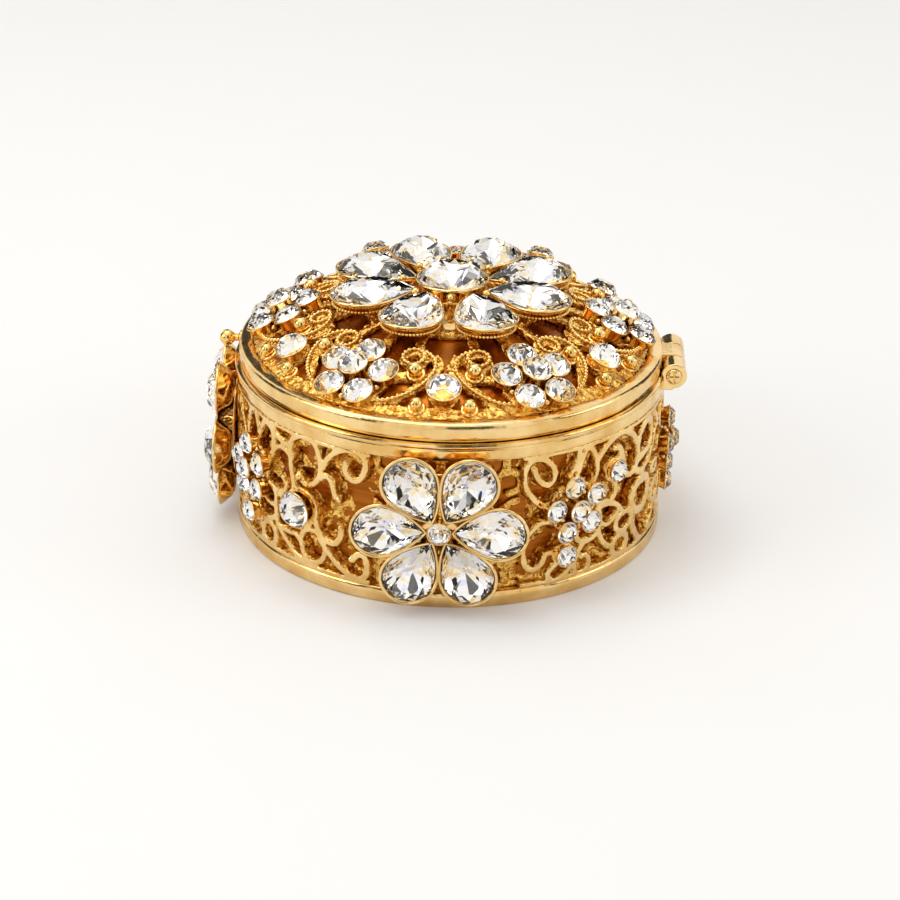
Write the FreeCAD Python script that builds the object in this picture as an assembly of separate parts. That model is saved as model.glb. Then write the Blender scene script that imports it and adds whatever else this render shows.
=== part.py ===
import FreeCAD, Part
import math
import os
from FreeCAD import Matrix, Placement, Vector

os.makedirs("parts", exist_ok=True)

# Round trinket box, millimetres. +Z is up and the origin is the middle of the underside.
# The front flower faces -Y, the hinge is on +X, the thumb ball on -X.
# Angles round the box are in degrees from the front, growing toward the hinge.

# Base
wall_r = 32.0
wall_depth = 1.6
wall_h = 20.8
foot_h = 2.2
rim_h = 2.4
band_proud = 0.2
band_edge = 0.3
lip_groove_h = 0.3
lip_groove_depth = 0.2
lip_groove_share = 0.7
floor_t = 1.0
liner_t = 0.5
seat_gap = 0.05
panel_joint = 0.06
strip_w = 0.85
rail_w = 0.7
end_share = 0.56
liner_low = 0.3

# Lid
seam_gap = 0.3
lid_r = 31.5
lid_band_t = 2.2
lid_band_h = 2.6
lid_edge = 0.35
dome_rise = 7.8
dome_start = 0.1
grille_t = 0.9
lid_liner_t = 0.4
grille_strip_w = 1.3
grille_ring_w = 1.6
flower_seat_r = 12.3

# Stones
girdle_t = 0.24
table_share = 0.55
star_share = 0.8
low_star_share = 0.25
bezel_t = 0.5
stone_gap = 0.04
lip_over_girdle = 0.2
pocket_floor = 0.3

# Lid flower
petal_len = 12.6
petal_w = 8.6
petal_crown = 1.9
petal_pavilion = 1.3
petal_count = 8
lid_flower_r = 18.9
petal_cup_h = 2.1
centre_stone_d = 10.0
centre_crown = 2.0
centre_pavilion = 2.2
centre_cup_h = 3.0
centre_bead_r = 0.55
centre_bead_ring_r = 7.3

# Wall flowers
wall_petal_len = 10.0
wall_petal_w = 7.4
wall_petal_crown = 1.6
wall_petal_pavilion = 1.3
wall_petal_count = 6
wall_flower_r = 12.6
wall_cup_h = 2.4
wall_flower_back_t = 0.5
wall_flower_back_r = 8.0
wall_flower_share = 0.52

# Small clusters
lid_cluster_r = 24.6
lid_cluster_d = 4.0
lid_cluster_ring = 4.1
lid_cluster_h = 1.5
lid_cluster_rise = 1.65
wall_cluster_d = 3.0
wall_cluster_ring = 3.65
wall_cluster_h = 1.1
wall_cluster_rise = 0.8
cluster_bezel = 0.3
cluster_plate_t = 0.35
cluster_stem_share = 0.7
round_crown_share = 0.27
round_pavilion_share = 0.155
cluster_count = 6
cluster_petals = 5

# Single stones
lid_single_r = 25.4
lid_single_d = 4.5
lid_single_h = 1.5
wall_single_d = 5.0
wall_single_h = 1.5

# Beaded wires and ball studs on the lid
wire_r = 0.32
loop_r = 1.5
loop_ring_r = 19.6
loop_angle = 13.4
stud_r = 0.85
stud_stem_share = 0.85
stud_sink_share = 0.25
stud_ring_r = 22.5
stud_angle = 10.5
rim_stud_ring_r = 28.0
rim_stud_angle = 7.5
arm_shares = [(0.944, 15.6), (0.868, 11.2), (0.783, 6.0), (0.718, 2.6), (0.680, 2.7), (0.650, 4.6)]

# Hinge and thumb ball
hinge_x = 33.0
barrel_r = 1.9
barrel_len = 12.0
lid_knuckle_len = 4.4
knuckle_gap = 0.2
pin_r = 1.1
pin_fit = 0.02
pin_run = 0.06
pin_head = 0.25
barrel_clear = 0.3
lug_in = 30.9
lug_low = 2.2
tongue_in = 30.3
tongue_low = 0.55
tongue_h = 1.4
thumb_r = 1.2
thumb_stem_r = 0.6
thumb_stem = 0.7

# Levels and radii that follow from the sizes above
wall_in = wall_r - wall_depth
rim_z = foot_h + wall_h
base_h = rim_z + rim_h
band_r = wall_r + band_proud
lid_z = base_h + seam_gap
lid_top_z = lid_z + lid_band_h
lid_in = lid_r - lid_band_t
dome_r = lid_in - seat_gap
dome_apex = lid_top_z - dome_start + dome_rise
dome_ball = (dome_r ** 2 + dome_rise ** 2) / (2 * dome_rise)
dome_centre_z = dome_apex - dome_ball
hinge_z = base_h + seam_gap / 2
front_seat = wall_r + seat_gap

# Where things sit round the box, as angles and as percentages of the wall height
panel_edges = [-18, 21, 70, 110, 162, 201, 250, 290, 342]
panel_names = ["front", "right", "hinge_side", "back_left", "back", "back_right", "clasp_side", "left"]
flower_angles = {"front": 0, "back": 180, "clasp": 270}
wall_cluster_shares = [(35.8, 55), (88, 55), (120, 55), (215.8, 55), (300, 55)]
wall_cluster_turn = 9
wall_small_shares = [(33.2, 21), (49.3, 73), (88, 21), (120, 21), (213.2, 21), (229.3, 73), (300, 21)]
wall_large_shares = [(-39.2, 45), (140.8, 45)]

# Scroll centre lines: points as (angle, height percentage), then the width as a share of the strip width
left_strip_shares = [
    ([(-42.6, 80), (-43.3, 88), (-41.6, 95), (-38.2, 99), (-34.7, 96), (-32.9, 86), (-32.8, 75), (-34.6, 67),
      (-37.2, 63), (-39.4, 66)], 1.0),
    ([(-32.3, 80), (-30.2, 89), (-27.4, 96), (-23.8, 99), (-20.6, 97), (-19.4, 90), (-20.4, 81), (-22.8, 77),
      (-24.9, 83), (-24.7, 90)], 1.0),
    ([(-32.8, 72), (-30.8, 75), (-29.0, 71), (-28.2, 63), (-26.8, 60)], 1.06),
    ([(-34.6, 38), (-33.2, 31), (-30.8, 26), (-28.2, 26), (-26.6, 32), (-26.4, 39)], 1.06),
    ([(-48.6, 22), (-45.2, 13), (-41.4, 6), (-37.2, 4)], 1.06),
    ([(-48.6, 22), (-44.4, 21), (-41.2, 21), (-39.0, 15)], 0.94),
    ([(-32.6, 25), (-29.6, 16), (-26.8, 9), (-23.0, 4), (-20.0, 5), (-18.8, 12), (-19.4, 20), (-21.2, 22),
      (-23.2, 17)], 1.06),
    ([(-48.6, 22), (-49.4, 32), (-49.2, 43), (-50.6, 49)], 1.06),
    ([(-50.2, 48), (-47.4, 46), (-44.0, 46)], 1.06),
    ([(-54.8, 53), (-50.4, 49), (-46.6, 50), (-45.0, 56), (-46.2, 61)], 0.94),
    ([(-56.0, 52), (-52.4, 68), (-49.4, 80), (-46.2, 83), (-43.0, 80)], 1.0),
    ([(-43.2, 80), (-42.8, 70), (-41.8, 57)], 1.0),
    ([(-61.6, 64), (-58.5, 77), (-55.5, 91), (-52.8, 96), (-50.2, 91), (-50.2, 78)], 1.06),
    ([(-50.4, 100), (-49.0, 91), (-46.0, 88), (-43.2, 88)], 1.18),
    ([(-64.5, 66), (-64.0, 87), (-61.6, 97), (-58.6, 94), (-57.4, 84)], 1.06),
    ([(-60.0, 21), (-54.4, 22), (-50.6, 25), (-49.2, 30)], 1.06),
    ([(-56.8, 40), (-53.2, 35), (-49.6, 36)], 0.94),
    ([(-56.2, 0), (-56.0, 12), (-58.0, 20), (-60.0, 38)], 1.06),
    ([(-70, 84), (-67.4, 76), (-65.0, 64)], 1.06),
    ([(-70, 18), (-66.5, 10), (-63.0, 14), (-61.0, 24)], 1.06),
]
left_ring_shares = [
    (-39.2, 45, 4.6, 12.4, 1.06), (-35.4, 18, 4.1, 12.4, 0.94), (-52.6, 11, 3.0, 8.4, 1.06),
    (-60.0, 55, 6.1, 16.4, 1.2), (-60.0, 21, 2.3, 6.2, 1.1), (-66.2, 31, 3.2, 11.5, 1.0),
]
right_strip_shares = [
    ([(28.6, 61), (26.6, 61), (23.6, 69), (21.6, 79), (21.8, 90), (23.9, 96), (27.0, 95), (29.6, 88),
      (29.9, 81), (28.3, 76), (26.4, 78), (24.9, 83), (24.2, 89)], 0.94),
    ([(34.6, 74), (34.8, 80), (36.2, 85), (37.0, 91), (37.2, 100)], 0.94),
    ([(36.4, 74), (37.4, 83), (39.4, 95), (41.5, 94), (43.1, 86), (43.4, 78), (42.6, 72), (41.2, 66)], 0.94),
    ([(43.3, 84), (45.6, 90), (48.6, 95), (52.2, 98), (56.2, 94), (59.6, 85), (61.2, 74), (60.4, 66),
      (57.8, 61), (55.0, 64), (53.2, 72), (52.9, 81), (51.6, 87), (49.8, 88)], 1.18),
    ([(48.0, 67), (50.4, 62), (51.0, 54), (49.2, 49), (46.6, 50), (43.6, 51)], 1.0),
    ([(41.4, 57), (44.0, 49), (45.3, 40), (45.2, 33), (43.8, 27), (41.4, 25), (38.9, 26), (37.2, 30),
      (36.8, 38)], 1.06),
    ([(44.6, 47), (48.0, 47), (51.2, 44), (53.6, 38), (55.2, 33)], 0.94),
    ([(45.3, 35), (48.0, 31), (50.6, 34), (52.8, 39)], 0.94),
    ([(44.8, 30), (46.4, 20), (48.6, 14), (50.8, 12)], 1.06),
    ([(31.0, 46), (26.6, 48), (23.6, 42), (21.9, 35), (21.6, 26), (22.4, 17), (24.5, 13), (26.8, 16),
      (28.1, 23), (31.0, 24)], 0.94),
    ([(32.2, 17), (29.1, 9), (29.4, 3), (31.6, 1), (34.2, 5), (36.6, 12), (38.0, 19), (40.4, 26)], 1.0),
    ([(36.8, 12), (37.2, 4), (39.0, 1), (41.2, 3), (41.8, 9), (40.6, 14), (39.2, 14)], 0.94),
    ([(61.0, 79), (63.0, 89), (66.0, 94), (69.0, 89), (70.0, 79), (68.0, 72), (65.0, 71), (60.6, 68)], 1.41),
    ([(59.2, 63), (62.6, 58), (66.2, 60), (70.0, 65)], 1.29),
    ([(60.2, 32), (59.6, 20), (61.4, 11), (64.6, 0)], 1.41),
    ([(52.8, 81), (50.6, 78)], 1.2),
    ([(64.0, 50), (63.4, 58)], 1.4),
]
right_ring_shares = [
    (64.0, 39, 4.9, 11.9, 1.65), (55.2, 27, 3.6, 6.9, 1.06), (53.8, 10, 3.2, 7.8, 1.29),
    (35.8, 55, 6.1, 16.4, 1.2), (33.2, 21, 2.3, 6.2, 1.1), (49.3, 73, 2.3, 6.2, 1.1),
]
# Panels behind the flowers and beside the hinge, drawn for one quarter and turned into the other three
flower_strip_shares = [
    ([(12.2, 66), (14.0, 78), (12.6, 90), (9.2, 95), (7.0, 88), (8.6, 80)], 1.0),
    ([(14.2, 80), (17.0, 88), (20.4, 84), (20.8, 74), (17.6, 71)], 1.0),
    ([(13.0, 52), (16.4, 60), (18.8, 64), (21.6, 66)], 1.0),
    ([(9.2, 95), (9.6, 101)], 1.2),
    ([(17.0, 87), (17.4, 101)], 1.2),
]
flower_post_shares = [([(0, 84), (0, 100)], 1.4), ([(0, 20), (0, 0)], 1.4)]
flower_ring_shares = (12.6, 34.0, 1.5)
hinge_strip_shares = [
    ([(5.4, 62), (8.0, 74), (12.0, 80), (15.4, 74), (14.8, 64), (11.4, 62), (10.4, 68)], 1.06),
    ([(9.4, 78), (9.0, 90), (5.6, 96), (2.6, 90), (3.6, 82)], 1.06),
    ([(12.0, 80), (14.6, 90), (18.6, 94), (20.2, 86), (18.0, 80)], 1.06),
    ([(6.0, 96), (6.4, 101)], 1.2),
    ([(16.6, 93), (16.8, 101)], 1.2),
    ([(6.1, 50), (10.4, 50), (14.0, 54), (17.6, 50)], 1.06),
    ([(17.6, 50), (19.6, 58), (17.6, 66), (15.0, 66)], 1.06),
]
hinge_ring_shares = (6.1, 16.4, 1.2)
small_ring_shares = (2.3, 6.2, 1.1)
hinge_mirror_share = 50
loose_share = 3
smooth_steps = 4


def turned(placement, shape):
    result = shape.copy()
    result.Placement = placement.multiply(shape.Placement)
    return result


def frame_at(point, along, up):
    out = along.cross(up)
    return Placement(Matrix(along.x, up.x, out.x, point.x, along.y, up.y, out.y, point.y,
                            along.z, up.z, out.z, point.z))


def facing(radius, angle, height):
    a = math.radians(angle)
    point = Vector(radius * math.sin(a), -radius * math.cos(a), height)
    return frame_at(point, Vector(math.cos(a), math.sin(a), 0), Vector(0, 0, 1))


def dome_z(radius):
    return dome_centre_z + math.sqrt(dome_ball ** 2 - radius ** 2)


def on_dome(radius, angle):
    a = math.radians(angle)
    tilt = math.asin(radius / dome_ball)
    point = Vector(radius * math.sin(a), -radius * math.cos(a), dome_z(radius))
    up = Vector(-math.cos(tilt) * math.sin(a), math.cos(tilt) * math.cos(a), math.sin(tilt))
    return frame_at(point, Vector(math.cos(a), math.sin(a), 0), up)


def wall_level(percent):
    return foot_h + wall_h * percent / 100


def revolved(profile):
    points = [Vector(r, 0, z) for r, z in profile]
    face = Part.Face(Part.makePolygon(points + points[:1]))
    return face.revolve(Vector(0, 0, 0), Vector(0, 0, 1), 360)


def tube(outer, inner, low, high):
    body = Part.makeCylinder(outer, high - low, Vector(0, 0, low))
    return body.cut(Part.makeCylinder(inner, high - low, Vector(0, 0, low)))


def disc_face(radius, x, y):
    circle = Part.makeCircle(radius, Vector(x, y, 0))
    return Part.Face(Part.Wire([circle]))


def annulus_face(outer, inner, x, y):
    return disc_face(outer, x, y).cut(disc_face(inner, x, y)).Faces[0]


def smooth_line(points):
    first = [2 * a - b for a, b in zip(points[0], points[1])]
    last = [2 * a - b for a, b in zip(points[-1], points[-2])]
    line = [first] + list(points) + [last]
    result = []
    for i in range(1, len(line) - 2):
        for step in range(smooth_steps):
            t = step / smooth_steps
            spot = []
            for a, b, c, d in zip(line[i - 1], line[i], line[i + 1], line[i + 2]):
                bend = (2 * a - 5 * b + 4 * c - d) * t * t + (3 * b - a - 3 * c + d) * t ** 3
                spot.append((2 * b + (c - a) * t + bend) / 2)
            result.append(spot)
    result.append(list(points[-1]))
    return result


def curve_edge(points):
    curve = Part.BSplineCurve()
    curve.interpolate(points)
    return curve.toShape()


def strip_faces(points, width):
    line = smooth_line(points)
    near = []
    far = []
    for i, (x, y) in enumerate(line):
        before = line[max(i - 1, 0)]
        after = line[min(i + 1, len(line) - 1)]
        run = math.hypot(after[0] - before[0], after[1] - before[1])
        nx = (before[1] - after[1]) / run * width / 2
        ny = (after[0] - before[0]) / run * width / 2
        near.append(Vector(x + nx, y + ny, 0))
        far.append(Vector(x - nx, y - ny, 0))
    far.reverse()
    edges = [curve_edge(near), Part.makeLine(near[-1], far[0])]
    edges += [curve_edge(far), Part.makeLine(far[-1], near[0])]
    ends = [disc_face(width * end_share, *line[0]), disc_face(width * end_share, *line[-1])]
    return [Part.Face(Part.Wire(edges))] + ends


def ellipse_face(x, y, half_x, half_y):
    if half_x >= half_y:
        curve = Part.Ellipse(Vector(x + half_x, y, 0), Vector(x, y + half_y, 0), Vector(x, y, 0))
    else:
        curve = Part.Ellipse(Vector(x, y + half_y, 0), Vector(x - half_x, y, 0), Vector(x, y, 0))
    return Part.Face(Part.Wire([curve.toShape()]))


def oval_ring(x, y, half_x, half_y, width):
    grow = width / 2
    outer = ellipse_face(x, y, half_x + grow, half_y + grow)
    return outer.cut(ellipse_face(x, y, half_x - grow, half_y - grow)).Faces[0]


def joined_faces(faces):
    # Flat pieces melt into one outline: only edges that belong to a single piece stay.
    pieces = faces[0].multiFuse(faces[1:]).Faces
    edges = {}
    for piece in pieces:
        for edge in piece.Edges:
            edges.setdefault(edge.hashCode(), []).append(edge)
    rim = [found[0] for found in edges.values() if len(found) == 1]
    wires = [Part.Wire(chain) for chain in Part.sortEdges(rim)]
    return Part.makeFace(wires, "Part::FaceMakerBullseye").Faces


def wall_panel(start, end, strips, rings):
    # Strips are drawn flat on the panel's own tangent plane, pushed outward and kept where the wall is.
    middle = (start + end) / 2
    half = math.radians((end - start) / 2)

    def flat(angle, percent):
        return (wall_r * math.sin(math.radians(angle - middle)), wall_level(percent))

    faces = []
    for points, share in strips:
        faces += strip_faces([flat(a, p) for a, p in points], strip_w * share)
    for angle, percent, half_angle, half_percent, share in rings:
        x, y = flat(angle, percent)
        half_x = wall_r * math.radians(half_angle)
        faces.append(oval_ring(x, y, half_x, wall_h * half_percent / 100, strip_w * share))
    reach = wall_r * math.sin(half) + rail_w
    for level in (foot_h, rim_z - rail_w):
        faces.append(Part.makePlane(2 * reach, rail_w, Vector(-reach, level, 0)))
    low = wall_in * math.cos(half) - wall_depth
    prisms = [face.extrude(Vector(0, 0, wall_r + wall_depth - low)) for face in joined_faces(faces)]
    sheet = turned(facing(low, middle, 0), Part.makeCompound(prisms))
    joint = math.degrees(panel_joint / wall_r)
    span = end - start - joint
    outer = Part.makeCylinder(wall_r, wall_h, Vector(0, 0, foot_h), Vector(0, 0, 1), span)
    inner = Part.makeCylinder(wall_in, wall_h, Vector(0, 0, foot_h))
    sector = outer.cut(inner)
    sector.rotate(Vector(0, 0, 0), Vector(0, 0, 1), start + joint / 2 - 90)
    pieces = sheet.common(sector).Solids
    kept = [piece for piece in pieces if piece.Volume > loose_share * wall_depth * strip_w ** 2]
    return Part.makeCompound(kept)


def quarter_copies(strips, middle, level):
    copies = []
    for side in (1, -1):
        for updown in (1, -1):
            for points, share in strips:
                moved = [(middle + side * a, level + updown * (p - level)) for a, p in points]
                copies.append(([(a, min(max(p, 0), 100)) for a, p in moved], share))
    return copies


def shifted(strips, turn):
    return [([(a + turn, p) for a, p in points], share) for points, share in strips]


def shifted_rings(rings, turn):
    return [(ring[0] + turn,) + ring[1:] for ring in rings]


def round_outline(diameter):
    steps = [math.radians(22.5 * k) for k in range(16)]
    return [(diameter / 2 * math.cos(a), diameter / 2 * math.sin(a)) for a in steps]


def pear_spot(length, width, degrees):
    # Round end toward +x about the origin, pointed end toward -x.
    tip = length / (width / 2) - 1
    fold = abs(180 - abs(degrees - 180))
    draw = max(fold - 90, 0) / 90
    reach = width / 2 * (1 + (tip - 1) * draw ** 3.2)
    return (reach * math.cos(math.radians(degrees)), reach * math.sin(math.radians(degrees)))


def pear_outline(length, width):
    return [pear_spot(length, width, 22.5 * k) for k in range(16)]


def pear_face(length, width):
    spots = [pear_spot(length, width, 180 + 10 * k - 360 * (k > 18)) for k in range(37)]
    spots[36] = spots[0]
    half = [Vector(x, y, 0) for x, y in spots[:19]]
    rest = [Vector(x, y, 0) for x, y in spots[18:]]
    return Part.Face(Part.Wire([curve_edge(half), curve_edge(rest)]))


def stone(outline, shift, crown, pavilion):
    # Cut stone: flat table, stars, kites, upper facets, straight girdle and a pointed underside.
    lift = girdle_t / 2
    high = [Vector(x, y, lift) for x, y in outline]
    low = [Vector(x, y, -lift) for x, y in outline]

    def drawn(point, share, z):
        return Vector(shift + share * (point.x - shift), share * point.y, z)

    cosine = math.cos(math.radians(22.5))
    star_z = lift + crown * (1 - star_share * cosine) / (1 - table_share)
    deep_z = -lift - pavilion * (1 - low_star_share * cosine)
    table = [drawn(high[2 * k], table_share, lift + crown) for k in range(8)]
    stars = [drawn(high[2 * k + 1], star_share, star_z) for k in range(8)]
    deeps = [drawn(low[2 * k + 1], low_star_share, deep_z) for k in range(8)]
    culet = Vector(shift, 0, -lift - pavilion)
    facets = [table]
    for k in range(8):
        after = (k + 1) % 8
        left, mid, right = 2 * k, 2 * k + 1, (2 * k + 2) % 16
        facets.append([table[k], stars[k], table[after]])
        facets.append([table[k], high[left], stars[k]])
        facets.append([table[after], stars[k], high[right]])
        facets.append([stars[k], high[left], high[mid]])
        facets.append([stars[k], high[mid], high[right]])
        facets.append([high[left], low[left], low[mid], high[mid]])
        facets.append([high[mid], low[mid], low[right], high[right]])
        facets.append([low[left], deeps[k], low[mid]])
        facets.append([low[mid], deeps[k], low[right]])
        facets.append([low[left], culet, deeps[k]])
        facets.append([low[right], deeps[k], culet])
    faces = [Part.Face(Part.makePolygon(corners + corners[:1])) for corners in facets]
    shell = Part.makeShell(faces)
    shell.sewShape()
    solid = Part.Solid(shell)
    if solid.Volume < 0:
        solid.reverse()
    return solid


def cup(radius, bottom, top, pocket_r, pocket_low):
    body = Part.makeCylinder(radius, top - bottom, Vector(0, 0, bottom))
    return body.cut(Part.makeCylinder(pocket_r, top - pocket_low, Vector(0, 0, pocket_low)))


def round_cup(diameter, bezel, height):
    return cup(diameter / 2 + bezel, seat_gap, height, diameter / 2 + stone_gap, pocket_floor)


def round_stone(diameter):
    return stone(round_outline(diameter), 0, diameter * round_crown_share, diameter * round_pavilion_share)


def raised(shape, height):
    return turned(Placement(Vector(0, 0, height), FreeCAD.Rotation()), shape)


def cluster_spots(ring, turn):
    step = 360 / cluster_petals
    angles = [math.radians(90 + turn + step * k) for k in range(cluster_petals)]
    return [Vector(ring * math.cos(a), ring * math.sin(a), 0) for a in angles]


def cluster_setting(diameter, ring, height, rise, turn):
    radius = diameter / 2 + cluster_bezel
    pieces = [Part.makeCylinder(ring, cluster_plate_t, Vector(0, 0, seat_gap))]
    pockets = []
    for spot in cluster_spots(ring, turn):
        pieces.append(Part.makeCylinder(radius, height - seat_gap, spot + Vector(0, 0, seat_gap)))
        pocket = Part.makeCylinder(diameter / 2 + stone_gap, height, spot + Vector(0, 0, pocket_floor))
        pockets.append(pocket)
    shoulder = height + rise - diameter * round_pavilion_share - pocket_floor - girdle_t - lip_over_girdle
    stem = radius * cluster_stem_share
    low = pieces[0].multiFuse(pieces[1:]).cut(Part.makeCompound(pockets))
    post = Part.makeCylinder(stem, shoulder - seat_gap, Vector(0, 0, seat_gap))
    head = cup(radius, shoulder, height + rise, diameter / 2 + stone_gap, shoulder + pocket_floor / 2)
    return low.multiFuse([post, head]).removeSplitter()


def cluster_stones(diameter, ring, height, rise, turn):
    level = height - lip_over_girdle
    one = round_stone(diameter)
    places = [spot + Vector(0, 0, level) for spot in cluster_spots(ring, turn)]
    places.append(Vector(0, 0, level + rise))
    return [turned(Placement(place, FreeCAD.Rotation()), one) for place in places]


def petal_places(count, offset, reach, height):
    places = []
    for k in range(count):
        angle = offset + 360 / count * k
        spin = FreeCAD.Rotation(Vector(0, 0, 1), angle)
        places.append(Placement(spin.multVec(Vector(reach, 0, height)), spin))
    return places


def petal_flower(length, width, count, offset, outer, height):
    # Cups side by side round the middle, all with open pockets for pear stones.
    reach = outer - bezel_t - width / 2
    wide = pear_face(length + 2 * bezel_t, width + 2 * bezel_t)
    body = wide.extrude(Vector(0, 0, height))
    hole = pear_face(length + 2 * stone_gap, width + 2 * stone_gap).extrude(Vector(0, 0, height))
    bodies = [turned(place, body) for place in petal_places(count, offset, reach, 0)]
    holes = [turned(place, hole) for place in petal_places(count, offset, reach, pocket_floor)]
    return bodies, holes, reach


def petal_stones(length, width, count, offset, reach, height, crown, pavilion):
    shift = -(length - width) / 2
    one = stone(pear_outline(length, width), shift, crown, pavilion)
    return [turned(place, one) for place in petal_places(count, offset, reach, height)]


nodes = {}

# Base bands, floor and liner
foot_profile = [(wall_in, 0), (band_r - band_edge, 0), (band_r, band_edge), (band_r, foot_h - band_edge),
                (band_r - band_edge, foot_h), (wall_in, foot_h)]
nodes["foot_band"] = revolved(foot_profile)
groove_z = rim_z + rim_h * lip_groove_share
rim_profile = [(wall_in, rim_z), (band_r - band_edge, rim_z), (band_r, rim_z + band_edge),
               (band_r, groove_z), (band_r - lip_groove_depth, groove_z),
               (band_r - lip_groove_depth, groove_z + lip_groove_h), (band_r, groove_z + lip_groove_h),
               (band_r, base_h - band_edge), (band_r - band_edge, base_h), (wall_in, base_h)]
top_band = revolved(rim_profile)
liner_r = wall_in - seat_gap
nodes["floor_plate"] = Part.makeCylinder(liner_r, floor_t)
nodes["liner_sleeve"] = tube(liner_r, liner_r - liner_t, floor_t, base_h - liner_low)

# Wall panels
for index, name in enumerate(panel_names):
    start = panel_edges[index]
    end = panel_edges[index + 1]
    if name in ("left", "back_left"):
        turn = 360 if name == "left" else 180
        strips = shifted(left_strip_shares, turn)
        rings = shifted_rings(left_ring_shares, turn)
    elif name in ("right", "back_right"):
        turn = 0 if name == "right" else 180
        strips = shifted(right_strip_shares, turn)
        rings = shifted_rings(right_ring_shares, turn)
    elif name == "hinge_side":
        middle = wall_cluster_shares[1][0]
        strips = quarter_copies(hinge_strip_shares, middle, hinge_mirror_share)
        rings = [wall_cluster_shares[1] + hinge_ring_shares, wall_small_shares[2] + small_ring_shares]
    else:
        middle = flower_angles[name.split("_")[0]]
        strips = quarter_copies(flower_strip_shares, middle, wall_flower_share * 100)
        strips += shifted(flower_post_shares, middle)
        rings = [(middle, wall_flower_share * 100) + flower_ring_shares]
    nodes["wall_" + name] = wall_panel(start, end, strips, rings)

# Large wall flowers, flat on the wall's tangent plane
flower_level = foot_h + wall_h * wall_flower_share
bodies, holes, wall_reach = petal_flower(wall_petal_len, wall_petal_w, wall_petal_count, 0, wall_flower_r,
                                         wall_cup_h)
back = Part.makeCylinder(wall_flower_back_r, wall_flower_back_t)
middle_stone_h = wall_cup_h + wall_cluster_rise / 2
middle_cup_r = wall_cluster_d / 2 + cluster_bezel
middle_post = cup(middle_cup_r, 0, middle_stone_h, wall_cluster_d / 2 + stone_gap,
                  middle_stone_h - wall_cluster_h)
setting = bodies[0].multiFuse(bodies[1:] + [back]).cut(Part.makeCompound(holes))
setting = setting.fuse(middle_post).removeSplitter()
wall_girdle = wall_cup_h - lip_over_girdle
pears = petal_stones(wall_petal_len, wall_petal_w, wall_petal_count, 0, wall_reach, wall_girdle,
                     wall_petal_crown, wall_petal_pavilion)
small_round = round_stone(wall_cluster_d)
middle_stones = []
for name, angle in flower_angles.items():
    place = facing(front_seat, angle, flower_level)
    nodes[name + "_flower_setting"] = turned(place, setting)
    nodes[name + "_flower_pears"] = Part.makeCompound([turned(place, pear) for pear in pears])
    middle_stones.append(turned(place, raised(small_round, middle_stone_h - lip_over_girdle)))
nodes["flower_middle_stones"] = Part.makeCompound(middle_stones)

# Small clusters and single stones on the wall
cluster = cluster_setting(wall_cluster_d, wall_cluster_ring, wall_cluster_h, wall_cluster_rise,
                          wall_cluster_turn)
stones = cluster_stones(wall_cluster_d, wall_cluster_ring, wall_cluster_h, wall_cluster_rise,
                        wall_cluster_turn)
places = [facing(wall_r, angle, wall_level(percent)) for angle, percent in wall_cluster_shares]
nodes["wall_cluster_settings"] = Part.makeCompound([turned(place, cluster) for place in places])
nodes["wall_cluster_stones"] = Part.makeCompound([turned(place, one) for place in places for one in stones])
single_cup = round_cup(wall_cluster_d, cluster_bezel, wall_cluster_h)
single_stone = raised(small_round, wall_cluster_h - lip_over_girdle)
places = [facing(wall_r, angle, wall_level(percent)) for angle, percent in wall_small_shares]
nodes["wall_small_cups"] = Part.makeCompound([turned(place, single_cup) for place in places])
nodes["wall_small_stones"] = Part.makeCompound([turned(place, single_stone) for place in places])
large_cup = round_cup(wall_single_d, cluster_bezel, wall_single_h)
large_stone = raised(round_stone(wall_single_d), wall_single_h - lip_over_girdle)
places = [facing(wall_r, angle, wall_level(percent)) for angle, percent in wall_large_shares]
nodes["wall_large_cups"] = Part.makeCompound([turned(place, large_cup) for place in places])
nodes["wall_large_stones"] = Part.makeCompound([turned(place, large_stone) for place in places])

# Hinge: two base knuckles on lugs let into the top band, a middle knuckle on a tongue let into the lid band
along_hinge = Vector(0, 1, 0)


def barrel(radius, start, end):
    return Part.makeCylinder(radius, end - start, Vector(hinge_x, start, hinge_z), along_hinge)


def block(x0, x1, y0, y1, z0, z1):
    return Part.makeBox(x1 - x0, y1 - y0, z1 - z0, Vector(x0, y0, z0))


side_start = lid_knuckle_len / 2 + knuckle_gap
side_end = barrel_len / 2
lug_z = hinge_z - lug_low
bore = barrel(pin_r + pin_fit, -side_end, side_end)
run_bore = barrel(pin_r + pin_run, -side_end, side_end)
base_knuckles = []
lug_room = []
for start, end in ((-side_end, -side_start), (side_start, side_end)):
    lug = block(lug_in, hinge_x, start, end, lug_z, base_h - seat_gap)
    room = block(lug_in - seat_gap, hinge_x, start - seat_gap, end + seat_gap, lug_z - seat_gap, base_h)
    lug_room.append(room)
    base_knuckles.append(barrel(barrel_r, start, end).fuse(lug).removeSplitter().cut(bore))
barrel_room = barrel(barrel_r + barrel_clear, -side_end - barrel_clear, side_end + barrel_clear)
nodes["top_band"] = top_band.cut(barrel_room).cut(Part.makeCompound(lug_room))
nodes["hinge_base_knuckles"] = Part.makeCompound(base_knuckles)
nodes["hinge_pin"] = barrel(pin_r, -side_end - pin_head, side_end + pin_head)
half_tongue = lid_knuckle_len / 2
tongue_z = hinge_z + tongue_low
tongue = block(tongue_in, hinge_x, -half_tongue, half_tongue, tongue_z, tongue_z + tongue_h)
tongue_room = block(tongue_in - seat_gap, hinge_x, -half_tongue - seat_gap, half_tongue + seat_gap,
                    tongue_z - seat_gap, tongue_z + tongue_h + seat_gap)
lid_knuckle = barrel(barrel_r, -half_tongue, half_tongue).fuse(tongue).removeSplitter()
nodes["hinge_lid_knuckle"] = lid_knuckle.cut(run_bore)

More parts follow.
